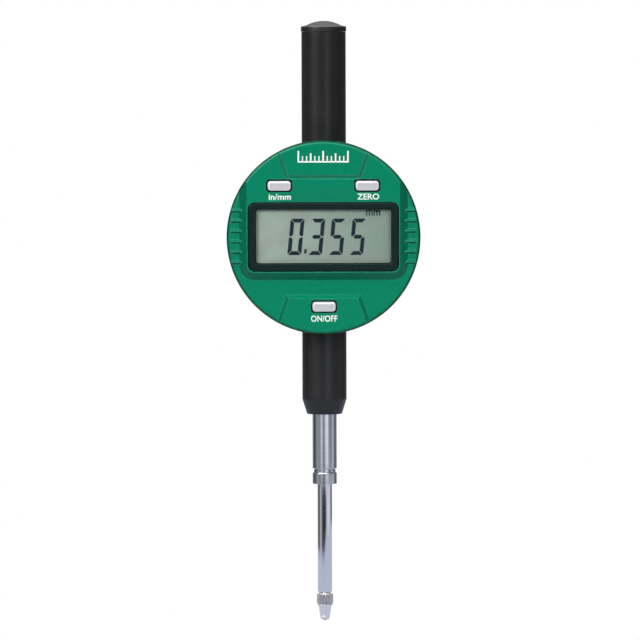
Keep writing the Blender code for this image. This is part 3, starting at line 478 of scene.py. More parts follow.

# Each finish with its material slot in the record. A node that stays as it is takes its slot's last one.
# The paler edge colour given to the plastics is partly wear and partly a painted highlight on rounded edges.
FINISH = {
    # Painted light and shade on the green: sloped and square walls darker, faces that look up a little
    # lighter, a painted highlight in the paler edge colour and a painted shade band at the front edge of the
    # rim.
    "green": ("green_plastic",
        plastic("green_moulding", (0.0012, 0.207, 0.110), 0.28, 0.10, 0.0035, 0.05, (0.08, 0.38, 0.27), 0.40,
            0.17, 0.70, 1.08, 0.7, (HEAD_Z, HEAD_R - 0.5, BASE_FACE + RIM_ROUND, 0.4))),
    "bezel": ("bezel_plastic",
        plastic("black_moulding", (0.007, 0.018, 0.017), 0.34, 0.12, 0.004, 0.12, (0.015, 0.03, 0.028), 0.2,
            0.12)),
    "print": ("key_plastic", plastic("white_print", (0.86, 0.90, 0.88), 0.55, 0.08, 0.002, 0.03)),
    # Painted light: the key's bevels and faces that look up are lightened, and its pale edge colour is partly
    # a painted highlight.
    "key": ("key_plastic",
        plastic("grey_key_moulding", (0.50, 0.50, 0.545), 0.42, 0.12, 0.004, 0.03, (0.80, 0.86, 0.84), 0.5,
            slope_light_and_shade=1.5, upward_painted_light=1.6)),
    "case": ("case_paint",
        plastic("black_case_paint", (0.020, 0.020, 0.0195), 0.42, 0.35, 0.010, 0.15, (0.07, 0.07, 0.068),
            0.25)),
    # Painted highlight: the cap's dome, which looks up, is lightened many times as a painted sheen.
    "cap": ("black_tube",
        plastic("black_anodised_cap", (0.012, 0.0118, 0.0126), 0.36, 0.10, 0.002, 0.12, (0.05, 0.05, 0.052),
            0.2, upward_painted_light=11.0)),
    "tube": ("black_tube",
        plastic("black_anodised", (0.0122, 0.0124, 0.0125), 0.33, 0.10, 0.002, 0.12, (0.04, 0.04, 0.037), 0.2,
            0.42)),
    "segment": ("lcd_glass",
        plastic("display_ink", (0.010, 0.022, 0.032), 0.45, 0.2, 0.001, 0.1, specular=0.15)),
    "stem": ("bright_steel", metal("ground_steel", (0.55, 0.57, 0.60), 0.13, "rings", 0.0005, 0.04)),
    "chrome": ("hard_chrome", metal("hard_chrome", (0.74, 0.76, 0.80), 0.07, "rings", 0.0004, 0.02, 0.08)),
    # The point's knurled band is darkened as painted shade.
    "point": ("bright_steel",
        metal("point_steel", (0.92, 0.88, 0.87), 0.30, "rings", 0.002, 0.08, shade_band=KNURL_SHADE_BAND)),
    "carbide": ("carbide", metal("polished_carbide", (0.40, 0.40, 0.42), 0.12, "cast", 0.0003, 0.03, 0.4)),
    "screw": ("bright_steel",
        metal("screw_steel", (0.42, 0.42, 0.43), 0.30, "face", 0.002, 0.08, 0.05, (0.62, 0.62, 0.63))),
    "steel": ("bright_steel", metal("inner_steel", (0.55, 0.56, 0.58), 0.28, "cast", 0.002, 0.06, 0.3)),
    "nickel": ("nickel", metal("nickel_plate", (0.60, 0.58, 0.54), 0.18, "cast", 0.001, 0.05, 0.5)),
    "brass": ("brass", metal("machined_brass", (0.60, 0.42, 0.16), 0.26, "rings", 0.002, 0.08)),
    "rubber": ("black_rubber", plastic("black_rubber", (0.015, 0.015, 0.015), 0.75, 0.2, 0.012, 0.15)),
    "elastomer": ("grey_elastomer", plastic("grey_elastomer", (0.25, 0.25, 0.27), 0.7, 0.3, 0.006, 0.1)),
    "holder": ("holder_plastic", plastic("natural_moulding", (0.60, 0.60, 0.56), 0.5, 0.2, 0.006, 0.05)),
    "board": ("circuit_board", plastic("solder_mask", (0.02, 0.12, 0.05), 0.35, 0.4, 0.006, 0.12)),
    "chip": ("chip_epoxy", plastic("black_epoxy", (0.02, 0.02, 0.02), 0.55, 0.15, 0.006, 0.15)),
    "ribbon": ("ribbon_film", plastic("amber_film", (0.50, 0.25, 0.05), 0.3, 0.5, 0.003, 0.1)),
    "display": ("lcd_glass", display_finish()),
    "window": ("clear_window", window_finish()),
}


def dress_frame():
    by_slot = dict(FINISH.values())
    for part in frame["record"]["subparts"]:
        node = frame["nodes"][part["node"]]
        node.data.materials.clear()
        node.data.materials.append(by_slot[part["material_slot"]])


# ---------------------------------------------------------------- green cover

def wall(run, rise, foot=0.35, top=0.25):
    """(lean, height) down a sloped wall whose foot leans out by run: rounded at its top and its foot."""
    corners = [(-1.2, rise), (0, rise, top), (run, 0.01, foot), (run + 1.2, 0.01)]
    return eased(corners, 4, closed=False)[1:-1]


def cover_blank():
    """The cup at the height of the plateau, with its rounded rim and its cavity."""
    profile = eased([
        (COVER_BORE_R, COVER_REAR, 0.2), (HEAD_R, COVER_REAR, 0.3), (HEAD_R, PLATEAU_FACE, RIM_ROUND),
        (0, PLATEAU_FACE), (0, COVER_INSIDE), (COVER_BORE_R, COVER_INSIDE, 0.4),
    ], 6)
    return turned("cover_shell", profile, FINE, "Y")


def rim_edge(radius, face):
    """The rounded edge where a face meets the side of a disc, as (radius, depth) points."""
    return eased([(0, face), (radius, face, RIM_ROUND), (radius, COVER_REAR)], 8, closed=False)[1:-1]


def step_cutter():
    """What is taken away round the plateau, down to the lower face and its own rounded rim."""
    above, beyond = PLATEAU_FACE - 1.5, HEAD_R + 8
    edge = rim_edge(HEAD_R, BASE_FACE)
    profile = [(0, above), (0, BASE_FACE), *edge, (beyond, edge[-1][1]), (beyond, above)]
    block = turned("step_cutter", profile, FINE, "Y")

    def around(lean):
        bottom = PLATEAU_BOTTOM - lean
        size = (2 * (PLATEAU_HALF_WIDTH + lean), beyond - bottom)
        return rounded(*size, PLATEAU_CORNER + lean, (0, (beyond + bottom) / 2))

    slope = wall(PLATEAU_SLOPE, BASE_FACE - PLATEAU_FACE, 0.35, 0.4)
    sections = [(PLATEAU_FACE - 3, around(slope[0][0]))]
    sections += [(BASE_FACE - height, around(lean)) for lean, height in slope]
    sections.append((COVER_INSIDE, around(slope[-1][0])))
    return combined(block, [lofted("plateau", sections)], "cut")


def trapezoid(top_half, bottom_half, top, bottom, lean=0.0):
    """An outline wider at one end, with each side moved out by lean."""
    tilt = (bottom_half - top_half) / (top - bottom)
    grow = lean * hypot(1, tilt)
    top, bottom = top + lean, bottom - lean
    top_half, bottom_half = top_half + grow - tilt * lean, bottom_half + grow + tilt * lean
    return [(-top_half, top), (top_half, top), (bottom_half, bottom), (-bottom_half, bottom)]


def raised_panel(name, shape, face, ground, run, foot):
    """A panel that stands on the ground face, rounded all round and ended by the rim."""
    slope = wall(run, ground - face, foot, 0.2)
    sections = [(face, trapezoid(*shape, slope[0][0]))]
    sections += [(ground - height, trapezoid(*shape, lean)) for lean, height in slope[1:]]
    sections.append((ground + RIM_ROUND - 0.05, trapezoid(*shape, slope[-1][0])))
    edge = rim_edge(HEAD_R - 0.04, face - 0.003)
    limit = turned("limit", [(0, face - 0.003), *edge, (edge[-1][0], ground + 2), (0, ground + 2)], FINE, "Y")
    return combined(lofted(name, sections), [limit], "keep")


LOWER_PANEL = (11.4, 15.5, -20.1, -HEAD_R)      # half widths at its top and bottom, then their heights
UPPER_PANEL = (15.4, 11.45, HEAD_R, 20.6)


def groove_cutter():
    """The groove at the foot of the upper panel, along its sides and its bottom."""
    floor, above, limit_r = PLATEAU_FACE + 0.35, PLATEAU_FACE - 0.6, HEAD_R - 0.3
    leans = [
        (above, 0.0), (above, 1.6), (PLATEAU_FACE - 0.02, 1.4), (PLATEAU_FACE + 0.1, 1.25), (floor, 0.95),
        (floor, 0.85), (UPPER_PANEL_FACE + 0.02, 0.0),
    ]
    ring = lofted("groove", [(depth, trapezoid(*UPPER_PANEL, lean)) for depth, lean in leans], closed=True)
    limit = turned("limit", [(0, -25), (limit_r, -25), (limit_r, -10), (0, -10)], FINE, "Y")
    return combined(ring, [limit], "keep")


def rib(name, side, height):
    """A grip rib with sloped flanks, a narrow round back and sloped ends, running out to the rim."""
    back, half, root = BASE_FACE - RIB_PROUD, RIB_HEIGHT / 2, BASE_FACE + 1.3
    sections = []
    inner, outer = RIB_SPAN
    for x, drop in ((inner, 0.0), (outer - 0.5, 0.0), (outer - 0.2, 0.15), (outer, 0.55)):
        flanks = [(root, height - half - 0.1), (BASE_FACE, height - half), (back + drop, height, 0.2)]
        flanks += [(BASE_FACE, height + half), (root, height + half + 0.1)]
        sections.append((side * x, eased(flanks, 6)))
    return lofted(name, sections, axis="X")


def opening(name, width, height, radius, centre, face, ease):
    """A cutter for a hole through the cover, flared a little where it meets the face."""
    hole = (width, height), radius, centre
    sections = [(COVER_INSIDE + 2, grown(*hole, 0))]
    sections += [(face + depth, grown(*hole, out)) for depth, out in quarter(3, ease)]
    sections.append((face - 1.0, grown(*hole, ease + 0.2)))
    return lofted(name, sections)


def button_centre(node):
    x, _, z = middle(node)
    return x, z - HEAD_Z


def green_cover():
    shell = combined(cover_blank(), [step_cutter()], "cut")
    extras = [
        raised_panel("lower_panel", LOWER_PANEL, PANEL_FACE, BASE_FACE, 1.2, 0.35),
        raised_panel("upper_panel", UPPER_PANEL, UPPER_PANEL_FACE, PLATEAU_FACE, 0.12, 0.05),
    ]
    shell = combined(shell, extras, "join")
    shell = combined(shell, [groove_cutter()], "cut")
    heights = [RIB_TOP - k * RIB_PITCH for k in range(RIB_COUNT)]
    shell = combined(shell, [rib("rib", side, height) for side in (-1, 1) for height in heights], "join")
    bezel_low, bezel_high = span("display_bezel")
    width = bezel_high.x - bezel_low.x + 0.36
    cuts = [opening("window_hole", width, BEZEL_HEIGHT + 0.36, 2.3, BEZEL_CENTRE, PLATEAU_FACE, 0.25)]
    for node in BUTTONS:
        face = PANEL_FACE if node == "power_button" else PLATEAU_FACE
        hole = (KEY_WIDTH + 2 * BUTTON_GAP, KEY_HEIGHT + 2 * BUTTON_GAP, 1.1)
        cuts.append(opening(f"{node}_hole", *hole, button_centre(node), face, 0.3))
    shell = combined(shell, cuts, "cut")
    piece("cover_shell", shell, "green", "dial_head", "front_cover", CENTRE, sharp=28)


# ---------------------------------------------------------------- display

BEZEL_HEIGHT, BEZEL_CENTRE = 22.45, (0, 0.2)
APERTURE = (44.4, 17.6)
WINDOW_CENTRE = (0.1, 0.46)
KEY_WIDTH, KEY_HEIGHT = 7.6, 3.15


def display_frame():
    """The black frame, with a rounded edge, a shallow inner chamfer and a ledge for the window."""
    low, high = span("display_bezel")
    front, rear = low.y, high.y
    width = high.x - low.x
    window_low, window_high = span("display_window")
    pocket = (window_high.x - window_low.x + 0.4, window_high.z - window_low.z + 0.4)
    ledge = window_low.y - 0.2

    outer, edge_round = ((width, BEZEL_HEIGHT), 2.1, BEZEL_CENTRE), 0.45
    chamfer = [(front + 0.02, 0.62), (front + 0.07, 0.5), (front + 0.16, 0.42)]
    chamfer += [(ledge - 0.06, 0.03), (ledge, 0.0)]
    sections = [(rear, grown(*outer, 0))]
    sections += [(front + depth, grown(*outer, -shrink)) for depth, shrink in quarter(4, edge_round)]
    sections += [(depth, grown(APERTURE, 0.8, WINDOW_CENTRE, out)) for depth, out in chamfer]
    sections += [(depth, rounded(*pocket, 1.0, WINDOW_CENTRE)) for depth in (ledge, rear)]
    mesh = lofted("display_frame", sections, closed=True)
    piece("display_frame", mesh, "bezel", "dial_head", "display_bezel", CENTRE)


def slab_with_ease(name, size, radius, centre, front, rear, ease):
    """A flat panel facing -Y with rounded front edges."""
    sections = [(rear, rounded(*size, radius, centre))]
    sections += [(front + depth, grown(size, radius, centre, -shrink)) for depth, shrink in quarter(3, ease)]
    return lofted(name, sections)


SEGMENTS = {"0": "abcdef", "3": "abcdg", "5": "acdfg"}
DIGIT_HEIGHT, DIGIT_WIDTH, STROKE = 12.0, 4.6, 1.28
DIGIT_SLANT, SEGMENT_GAP, SEGMENT_CUT = 0.10, 0.13, 0.40
DIGIT_PITCH, DIGIT_START, DIGIT_FOOT = 6.8, -11.95, -5.77
READING = "0355"


def segment_outline(which):
    """One segment of a digit whose lower left corner is at (0, 0), before it is slanted."""
    w, h, s, g, c = DIGIT_WIDTH, DIGIT_HEIGHT, STROKE, SEGMENT_GAP, SEGMENT_CUT
    m = h / 2
    top = [(g + c / 2, h - c / 2), (g + c, h), (w - g - c, h), (w - g - c / 2, h - c / 2)]
    top += [(w - s - g * 0.4, h - s), (s + g * 0.4, h - s)]
    flat = {
        "a": top,
        "d": [(x, h - y) for x, y in top],
        "g": [(s * 0.62, m), (s + g, m + s / 2), (w - s - g, m + s / 2), (w - s * 0.62, m),
              (w - s - g, m - s / 2), (s + g, m - s / 2)],
        "f": [(c / 2, h - g - c / 2), (s, h - s - g * 1.6), (s, m + s * 0.5 + g), (s * 0.5, m + g * 1.2),
              (0, m + g * 2.2), (0, h - g - c)],
    }
    flip = {"b": "f", "c": "f", "e": "f"}
    outline = flat.get(which) or flat[flip[which]]
    if which in "bc":
        outline = [(w - x, y) for x, y in outline]
    if which in "ce":
        outline = [(x, h - y) for x, y in outline]
    return outline


def prism(points, faces, outline, front, rear):
    """Adds a flat outline of thickness front to rear to the lists of points and faces."""
    start, count = len(points), len(outline)
    points += [(x, rear, z) for x, z in outline] + [(x, front, z) for x, z in outline]
    faces.append(tuple(range(start, start + count)))
    faces.append(tuple(reversed(range(start + count, start + 2 * count))))
    for i in range(count):
        j = (i + 1) % count
        faces.append((start + i, start + j, start + count + j, start + count + i))


def display():
    window_low, window_high = span("display_window")
    lcd_low, lcd_high = span("lcd_panel")
    size = (window_high.x - window_low.x, window_high.z - window_low.z)
    mesh = slab_with_ease("window_pane", size, 0.8, WINDOW_CENTRE, window_low.y, window_high.y, 0.12)
    piece("window_pane", mesh, "window", "dial_head", "display_window", CENTRE)
    mesh = slab_with_ease("display_glass", size, 0.8, WINDOW_CENTRE, lcd_low.y, lcd_high.y, 0.08)
    piece("display_glass", mesh, "display", "dial_head", "lcd_panel", CENTRE)
    film = lcd_low.y - 0.09
    inset = (size[0] - 4.6, size[1] - 3.0)
    mesh = slab_with_ease("display_film", inset, 0.4, WINDOW_CENTRE, film, lcd_low.y - 0.005, 0.03)
    piece("display_film", mesh, "display", "dial_head", None, CENTRE)

    front, rear = film - 0.025, film - 0.003
    points, faces = [], []
    for k, digit in enumerate(READING):
        for which in SEGMENTS[digit]:
            outline = [(DIGIT_START + k * DIGIT_PITCH + x + DIGIT_SLANT * y, DIGIT_FOOT + y)
                       for x, y in segment_outline(which)]
            prism(points, faces, outline, front, rear)
    dot, dot_foot, width, height = DIGIT_START + DIGIT_WIDTH + 0.92, DIGIT_FOOT + 0.5, 0.8, 1.45
    slanted = [(dot + x + DIGIT_SLANT * y, dot_foot + y) for x, y in rectangle(0, 0, width, height)]
    prism(points, faces, slanted, front, rear)
    mesh = mesh_from("display_digits", points, faces)
    piece("display_digits", mesh, "segment", "dial_head", None, CENTRE, weighted=False)
    unit = lettering("display_unit", "mm", (4.7, 1.9), (16.4, 8.1), front, 0.02, 0.06)
    piece("display_unit", unit, "segment", "dial_head", None, CENTRE, weighted=False)


def lettering(name, text, fit, centre, front, thickness, weight):
    """Plain letters as a thin print on a face towards -Y, as wide and as high as fit."""
    curve = bpy.data.curves.new(name, "FONT")
    curve.body, curve.size, curve.extrude, curve.resolution_u = text, 3.0, thickness / 2, 4
    curve.offset = weight
    source = in_scene(name, curve)
    mesh = final_mesh(source)
    bpy.data.objects.remove(source)
    low = [min(v.co[i] for v in mesh.vertices) for i in range(2)]
    high = [max(v.co[i] for v in mesh.vertices) for i in range(2)]
    for vertex in mesh.vertices:
        u, v = [(vertex.co[i] - (low[i] + high[i]) / 2) * fit[i] / (high[i] - low[i]) + centre[i]
                for i in range(2)]
        vertex.co = Vector((u, front + thickness / 2 - vertex.co.z, v)) * MM
    return outward(mesh, weld=True)


def prints():
    """The words by the buttons, and a plain row of scale ticks on the upper panel."""
    thickness = 0.02
    labels = {
        "label_unit": ("in/mm", (7.3, 2.1), (-14.3, 13.5), PLATEAU_FACE),
        "label_zero": ("ZERO", (7.2, 2.0), (14.8, 13.5), PLATEAU_FACE),
        "label_power": ("ON/OFF", (8.7, 2.1), (0.2, -26.7), PANEL_FACE),
    }
    for name, (text, fit, centre, face) in labels.items():
        mesh = lettering(name, text, fit, centre, face - thickness, thickness + 0.03, 0.05)
        piece(name, mesh, "print", "dial_head", None, CENTRE, weighted=False)
    points, faces = [], []
    pitch, count, foot, broad, fine = 1.36, 13, 25.2, 0.26, 0.19
    marks = []
    for k in range(count):
        x = (k - (count - 1) / 2) * pitch
        tall = 3.4 if k % 6 == 0 else (2.6 if k % 3 == 0 else 1.7)
        half = broad if k % 3 == 0 else fine
        marks.append((x - half, foot, x + half, foot + tall))
    edge = (count - 1) / 2 * pitch + broad
    for mark in (*marks, (-edge, foot - 0.45, edge, foot + 0.05)):
        prism(points, faces, rectangle(*mark), UPPER_PANEL_FACE - thickness, UPPER_PANEL_FACE + 0.03)
    mesh = mesh_from("scale_ticks", points, faces)
    piece("scale_ticks", mesh, "print", "dial_head", None, CENTRE, weighted=False)


def keys():
    """Each button: a cap with a broad bevel round a shallow dished top, on a flange behind the cover."""
    for node in BUTTONS:
        low, high = span(node)
        x, z = button_centre(node)
        front, rear = low.y, high.y
        flange = (high.x - low.x, high.z - low.z)
        waist = rear - 0.5

        def cap(shrink):
            corner = max(0.25, 0.95 - shrink * 0.8)
            return rounded(KEY_WIDTH - 2 * shrink, KEY_HEIGHT - 2 * shrink, corner, (x, z))

        sections = [(rear, rounded(*flange, 1.3, (x, z))), (waist, rounded(*flange, 1.3, (x, z)))]
        bevel = ((0.60, 0), (0.46, 0.08), (0.08, 0.60), (0, 0.74), (0.03, 0.9), (0.07, 1.1))
        sections += [(waist, cap(0))] + [(front + depth, cap(shrink)) for depth, shrink in bevel]
        mesh = lofted(f"{node}_cap", sections)
        piece(f"{node}_cap", mesh, "key", node, node, CENTRE, sharp=40)


# ---------------------------------------------------------------- case and back

def slab(name, outline, low, high, axis="Y"):
    return lofted(name, [(low, outline), (high, outline)], axis=axis)


def box(name, low, high):
    return slab(name, rectangle(low[0], low[2], high[0], high[2]), low[1], high[1])


def rod(name, radius, low, high, axis="Y", centre=(0, 0), steps=COARSE):
    return slab(name, circle(radius, steps, centre), low, high, axis)


PLATE_SCREW_SPOTS = [polar(27.3, degrees) for degrees in (45, 135, 225, 315)]
LUG_HALF_WIDTH, LUG_HOLE_Y, LUG_HOLE_R, LUG_END_R = 2.5, 18.0, 3.25, 6.5


def rear_case():
    """The black case: a ring with a front flange, the bores for both tubes, and its inner ledges."""
    low, high = span("rear_case")
    case_r = (high.x - low.x) / 2
    front, rear, bore = low.y, span("lug_back")[0].y - 0.02, 29.3
    flange_r, flange_rear = 25.0, -7.8
    groove_in, groove_out, groove_floor = 29.9, 30.9, front + 0.85
    profile = eased([
        (flange_r, front), (groove_in, front), (groove_in, groove_floor), (groove_out, groove_floor),
        (groove_out, front), (case_r, front, 0.15), (case_r, rear, 0.35), (bore, rear), (bore, flange_rear),
        (flange_r, flange_rear),
    ])
    ring = turned("case_ring", profile, FINE, "Y")
    guide_x = middle("guide_rod")[0]
    boss_feet, sensor_heights, battery_heights = (-28.2, 22.6), (-10, 10), (-14.2, 14.2)
    post_r, hole_r, steps = 2.3, 1.05, 24
    extras = [box("guide_boss", (guide_x - 2.4, -3, z), (guide_x + 2.3, 3, z + 5.2)) for z in boss_feet]
    extras += [box("sensor_ledge", (-29.0, 1.8, z - 2), (-21.4, 4.5, z + 2)) for z in sensor_heights]
    extras += [box("battery_ledge", (20.6, -0.5, z - 2), (26.4, 2.3, z + 2)) for z in battery_heights]
    extras += [rod("plate_post", post_r, 1.0, 9.1, "Y", spot, steps) for spot in PLATE_SCREW_SPOTS]
    ring = combined(ring, extras, "join")
    bore_r = radius_of("top_tube") + 0.25
    cuts = [rod("tube_bore", bore_r, z, z + 10, "Z", (0, 0), MEDIUM) for z in (-36, 26)]
    cuts += [rod("plate_hole", hole_r, 3, 12, "Y", spot, steps) for spot in PLATE_SCREW_SPOTS]
    ring = combined(ring, cuts, "cut")
    piece("case_ring", ring, "case", "body", "rear_case", CENTRE)


def lug_back():
    """The back plate with a turned step, an eased rim and the fixing lug with filleted feet."""
    plate_front = span("lug_back")[0].y
    radius, plate_rear = radius_of("lug_back"), plate_front + 2.0
    battery_x, cover_hole_r, notch_r = middle("battery_cover")[0], radius_of("battery_cover") + 0.4, 12.9
    profile = eased([
        (0, plate_front), (radius, plate_front, 0.2), (radius, plate_rear, 0.6), (0, plate_rear),
    ], 6)
    plate = turned("back_plate", profile, FINE, "Y")
    steps, fillet = 24, 1.2
    turns = [pi * k / steps - pi / 2 for k in range(steps + 1)]
    end = [(LUG_HOLE_Y + LUG_END_R * cos(t), LUG_END_R * sin(t)) for t in turns]
    foot = LUG_END_R + fillet
    turns = [pi / 2 * k / 6 for k in range(6 + 1)]
    flare = [(plate_rear + fillet * (1 - cos(t)), foot - fillet * sin(t)) for t in turns]
    flare.insert(0, (plate_rear - 0.5, foot))
    outline = [(y, -z) for y, z in flare] + end + [(y, z) for y, z in reversed(flare)]
    plate = combined(plate, [lug_body(outline)], "join")
    cuts = []
    for side in (-1, 1):
        flat = side * LUG_HALF_WIDTH
        cone = [(flat + side * out, circle(LUG_HOLE_R + more, COARSE, (LUG_HOLE_Y, 0)))
                for out, more in ((-0.25, 0), (0.3, 0.55))]
        cuts.append(lofted("lug_chamfer", cone, axis="X"))
    cuts.append(rod("lug_hole", LUG_HOLE_R, -4, 4, "X", (LUG_HOLE_Y, 0)))
    shank_r, cone_start, cone_r, beyond = 1.4, 10.1, 2.9, 13
    sink = [(0, 9), (shank_r, 9), (shank_r, cone_start), (cone_r, plate_rear - 0.02)]
    sink += [(cone_r + 0.15, plate_rear + 0.1), (cone_r + 0.15, beyond), (0, beyond)]
    cuts += [moved(turned("sink", sink, COARSE, "Y"), (x, 0, z)) for x, z in PLATE_SCREW_SPOTS]
    hole = []
    for i in range(MEDIUM):
        turn = 2 * pi * i / MEDIUM
        reach = notch_r if abs(sin(turn)) > cos(radians(16)) else cover_hole_r
        hole.append((battery_x + reach * cos(turn), reach * sin(turn)))
    cuts.append(slab("battery_hole", hole, 8, beyond))
    plate = combined(plate, cuts, "cut")
    piece("back_plate", plate, "case", "body", "lug_back", CENTRE)


def lug_body(outline):
    """The lug across the plate, with its long edges rounded over."""
    ease, sections = 0.5, []
    for side in (-1, 1):
        for depth, shrink in quarter(3, ease):
            ring = []
            for y, z in outline:
                if y < LUG_HOLE_Y:
                    ring.append((y, z - (shrink if z > 0 else -shrink)))
                    continue
                away = Vector((y - LUG_HOLE_Y, z))
                scale = max(0.0, 1 - shrink / away.length)
                ring.append((LUG_HOLE_Y + away.x * scale, away.y * scale))
            sections.append((side * (LUG_HALF_WIDTH - depth), ring))
    return lofted("lug", sorted(sections, key=lambda section: section[0]), axis="X")


def plate_screws():
    for k in range(1, 5):
        node = f"lug_back_screw_{k}"
        x, _, z = middle(node)
        head_r, bottom, top = radius_of(node), span(node)[0].y, span(node)[1].y
        profile = eased([
            (0, bottom), (1.0, bottom), (1.0, top - 1.5), (head_r, top - 0.12, 0.08), (head_r - 0.1, top),
            (0, top),
        ])
        mesh = turned("screw", profile, COARSE, "Y")
        driver_slot = box("slot", (-4, top - 0.75, -0.38), (4, top + 1, 0.38))
        driver_slot.transform(Matrix.Rotation(radians(35 + 40 * k), 4, "Y"))
        mesh = combined(mesh, [driver_slot], "cut")
        piece(f"plate_screw_{k}", mesh, "screw", "body", node, (x, 0, z))


def battery_cover():
    """The battery's round cover, with a coin slot, a shallow dished face and two locking tabs."""
    low, high = span("battery_cover")
    x, radius, front, rear = middle("battery_cover")[0], radius_of("battery_cover"), low.y, high.y
    wall_r, floor_y, groove_r, groove_start, groove_end = 9.6, 10.6, 10.9, 9.9, 10.9
    profile = eased([
        (wall_r, front), (radius - 0.2, front), (radius - 0.2, groove_start), (groove_r, groove_start),
        (groove_r, groove_end), (radius, groove_end), (radius, rear, 0.3), (radius - 1.2, rear, 0.15),
        (radius - 1.5, rear - 0.2, 0.2), (0, rear - 0.2), (0, floor_y), (wall_r, floor_y),
    ])
    cover = turned("battery_lid", profile, FINE, "Y")
    tab_in, tab_out, tab_half = 10.6, 12.6, 13
    tabs = []
    for facing in (0, 180):
        inner = [polar(tab_in, facing + a) for a in (-tab_half, 0, tab_half)]
        outer = [polar(tab_out, facing + a) for a in (tab_half, 0, -tab_half)]
        tabs.append(slab("tab", inner + outer, 8.35, 9.2))
    cover = combined(cover, tabs, "join")
    coin = rounded(14.0, 1.8, 0.85)
    flare = [(rear - 0.15, rounded(14.4, 2.2, 1.0)), (rear + 1, rounded(14.6, 2.4, 1.1))]
    cover = combined(cover, [lofted("coin_slot", [(11.1, coin), (rear - 0.35, coin), *flare])], "cut")
    piece("battery_lid", cover, "case", "battery_cover", "battery_cover", (x, 0, HEAD_Z))


# ---------------------------------------------------------------- tubes, stem and spindle

def tubes():
    low, high = span("top_tube")
    radius, bore = radius_of("top_tube"), 6.0
    lip = high.z + 0.24
    profile = eased([(bore, low.z), (radius, low.z), (radius, lip, 0.14), (bore, lip)])
    turned_piece("tube_barrel", profile, "tube", "body", "top_tube")

    edge, cap_r = high.z + 0.3, radius + 0.18
    low, high = span("top_cap")
    apex = high.z
    shoulder, crown_r, crown_rise = apex - 1.85, cap_r - 1.8, 1.45
    wall_r, skirt_r, chamfer = 4.4, bore - 0.2, 0.14
    profile = [(wall_r, low.z), (skirt_r, low.z), (skirt_r, edge), (cap_r - chamfer, edge)]
    profile.append((cap_r, edge + chamfer))
    rounding = [(cap_r, edge + 0.3), (cap_r, shoulder, 0.4), (crown_r, apex - crown_rise)]
    profile += eased(rounding, 5, closed=False)[1:-1]
    sphere_r, steps = (crown_r ** 2 + crown_rise ** 2) / (2 * crown_rise), 14
    for k in range(steps):
        reach = crown_r * (1 - k / steps)
        profile.append((reach, apex - sphere_r + (sphere_r ** 2 - reach ** 2) ** 0.5))
    profile += [(0, apex), (0, apex - 4.4), (wall_r, apex - 4.4)]
    turned_piece("tube_cap", profile, "cap", "body", "top_cap")

    low, high = span("lower_sleeve")
    cone_top, bore = low.z + 5.0, 4.2
    profile = eased([
        (bore, low.z, 0.1), (5.8, low.z, 0.3), (radius, cone_top, 0.9), (radius, high.z), (bore, high.z),
    ])
    turned_piece("sleeve", profile, "tube", "body", "lower_sleeve")


def stem_pieces():
    low, high = span("stem")
    radius, wide, narrow, step = radius_of("stem"), 3.4, 2.85, 10.0
    profile = eased([
        (wide, low.z, 0.1), (radius, low.z, 0.3), (radius, high.z), (narrow, high.z), (narrow, step),
        (wide, step),
    ])
    turned_piece("stem_barrel", profile, "stem", "body", "stem")

    low, high = span("stem_collar")
    top, shoulder, recess = -10.7, -9.7, -12.0
    neck, seat, bore = 3.6, 3.15, 2.6
    profile = eased([
        (seat, low.z, 0.1), (radius, low.z, 0.12), (radius, low.z + 0.16), (radius, top - 0.3),
        (radius, top, 0.25), (neck, top, 0.1), (neck, shoulder), (wide - 0.2, shoulder), (wide - 0.2, high.z),
        (bore, high.z), (bore, recess), (seat, recess),
    ])
    turned_piece("stem_collar_ring", profile, "stem", "body", "stem_collar")


KNURL_COUNT, KNURL_DEPTH = 26, 0.24


def spindle_pieces():
    low, high = span("spindle")
    radius, thread_r, thread_top = radius_of("spindle"), 1.35, low.z + 6
    profile = eased([
        (thread_r, low.z), (radius, low.z, 0.25), (radius, high.z, 0.35), (0, high.z), (0, thread_top),
        (thread_r, thread_top),
    ])
    turned_piece("spindle_rod", profile, "chrome", "spindle", "spindle")

    low, high = span("contact_point")
    taper_foot, cone_top, line, foot = KNURL_BOTTOM - 0.9, KNURL_BOTTOM - 1.7, low.z + 1.2, low.z

    def knurl(turn, height, reach):
        if not taper_foot < height < KNURL_TOP + 0.1 or reach < 2.3:
            return 0.0
        return -KNURL_DEPTH * (1 - abs((turn * KNURL_COUNT / (2 * pi)) % 1 - 0.5) * 2)

    profile = [(0, high.z), (1.2, high.z), (1.2, SPINDLE_END - 0.3), (2.1, SPINDLE_END - 0.3)]
    profile += [(2.1, SPINDLE_END - 0.45), (2.7, KNURL_TOP), (2.7, KNURL_BOTTOM), (2.43, taper_foot + 0.02)]
    profile += [(2.40, taper_foot - 0.05), (2.08, cone_top + 0.05), (2.04, cone_top - 0.05)]
    profile += [(1.64, line + 0.06), (1.58, line), (1.60, line - 0.06), (1.36, foot + 0.06), (1.30, foot)]
    profile += [(1.15, foot), (1.15, foot + 1.9), (0, foot + 1.9)]
    mesh = turned("point_body", profile, KNURL_COUNT * 8, "Z", knurl)
    piece("point_body", mesh, "point", "spindle", "contact_point", sharp=28)

    low, high = span("contact_ball")
    ball_r, steps = (high.z - low.z) / 2, 20
    centre = low.z + ball_r
    turns = [pi * k / steps for k in range(1, steps)]
    profile = [(ball_r * sin(t), centre + ball_r * cos(t)) for t in turns]
    profile = [(0, centre + ball_r), *profile, (0, centre - ball_r)]
    turned_piece("point_ball", profile, "carbide", "spindle", "contact_ball", COARSE, weighted=False)


# ---------------------------------------------------------------- stage, light and camera

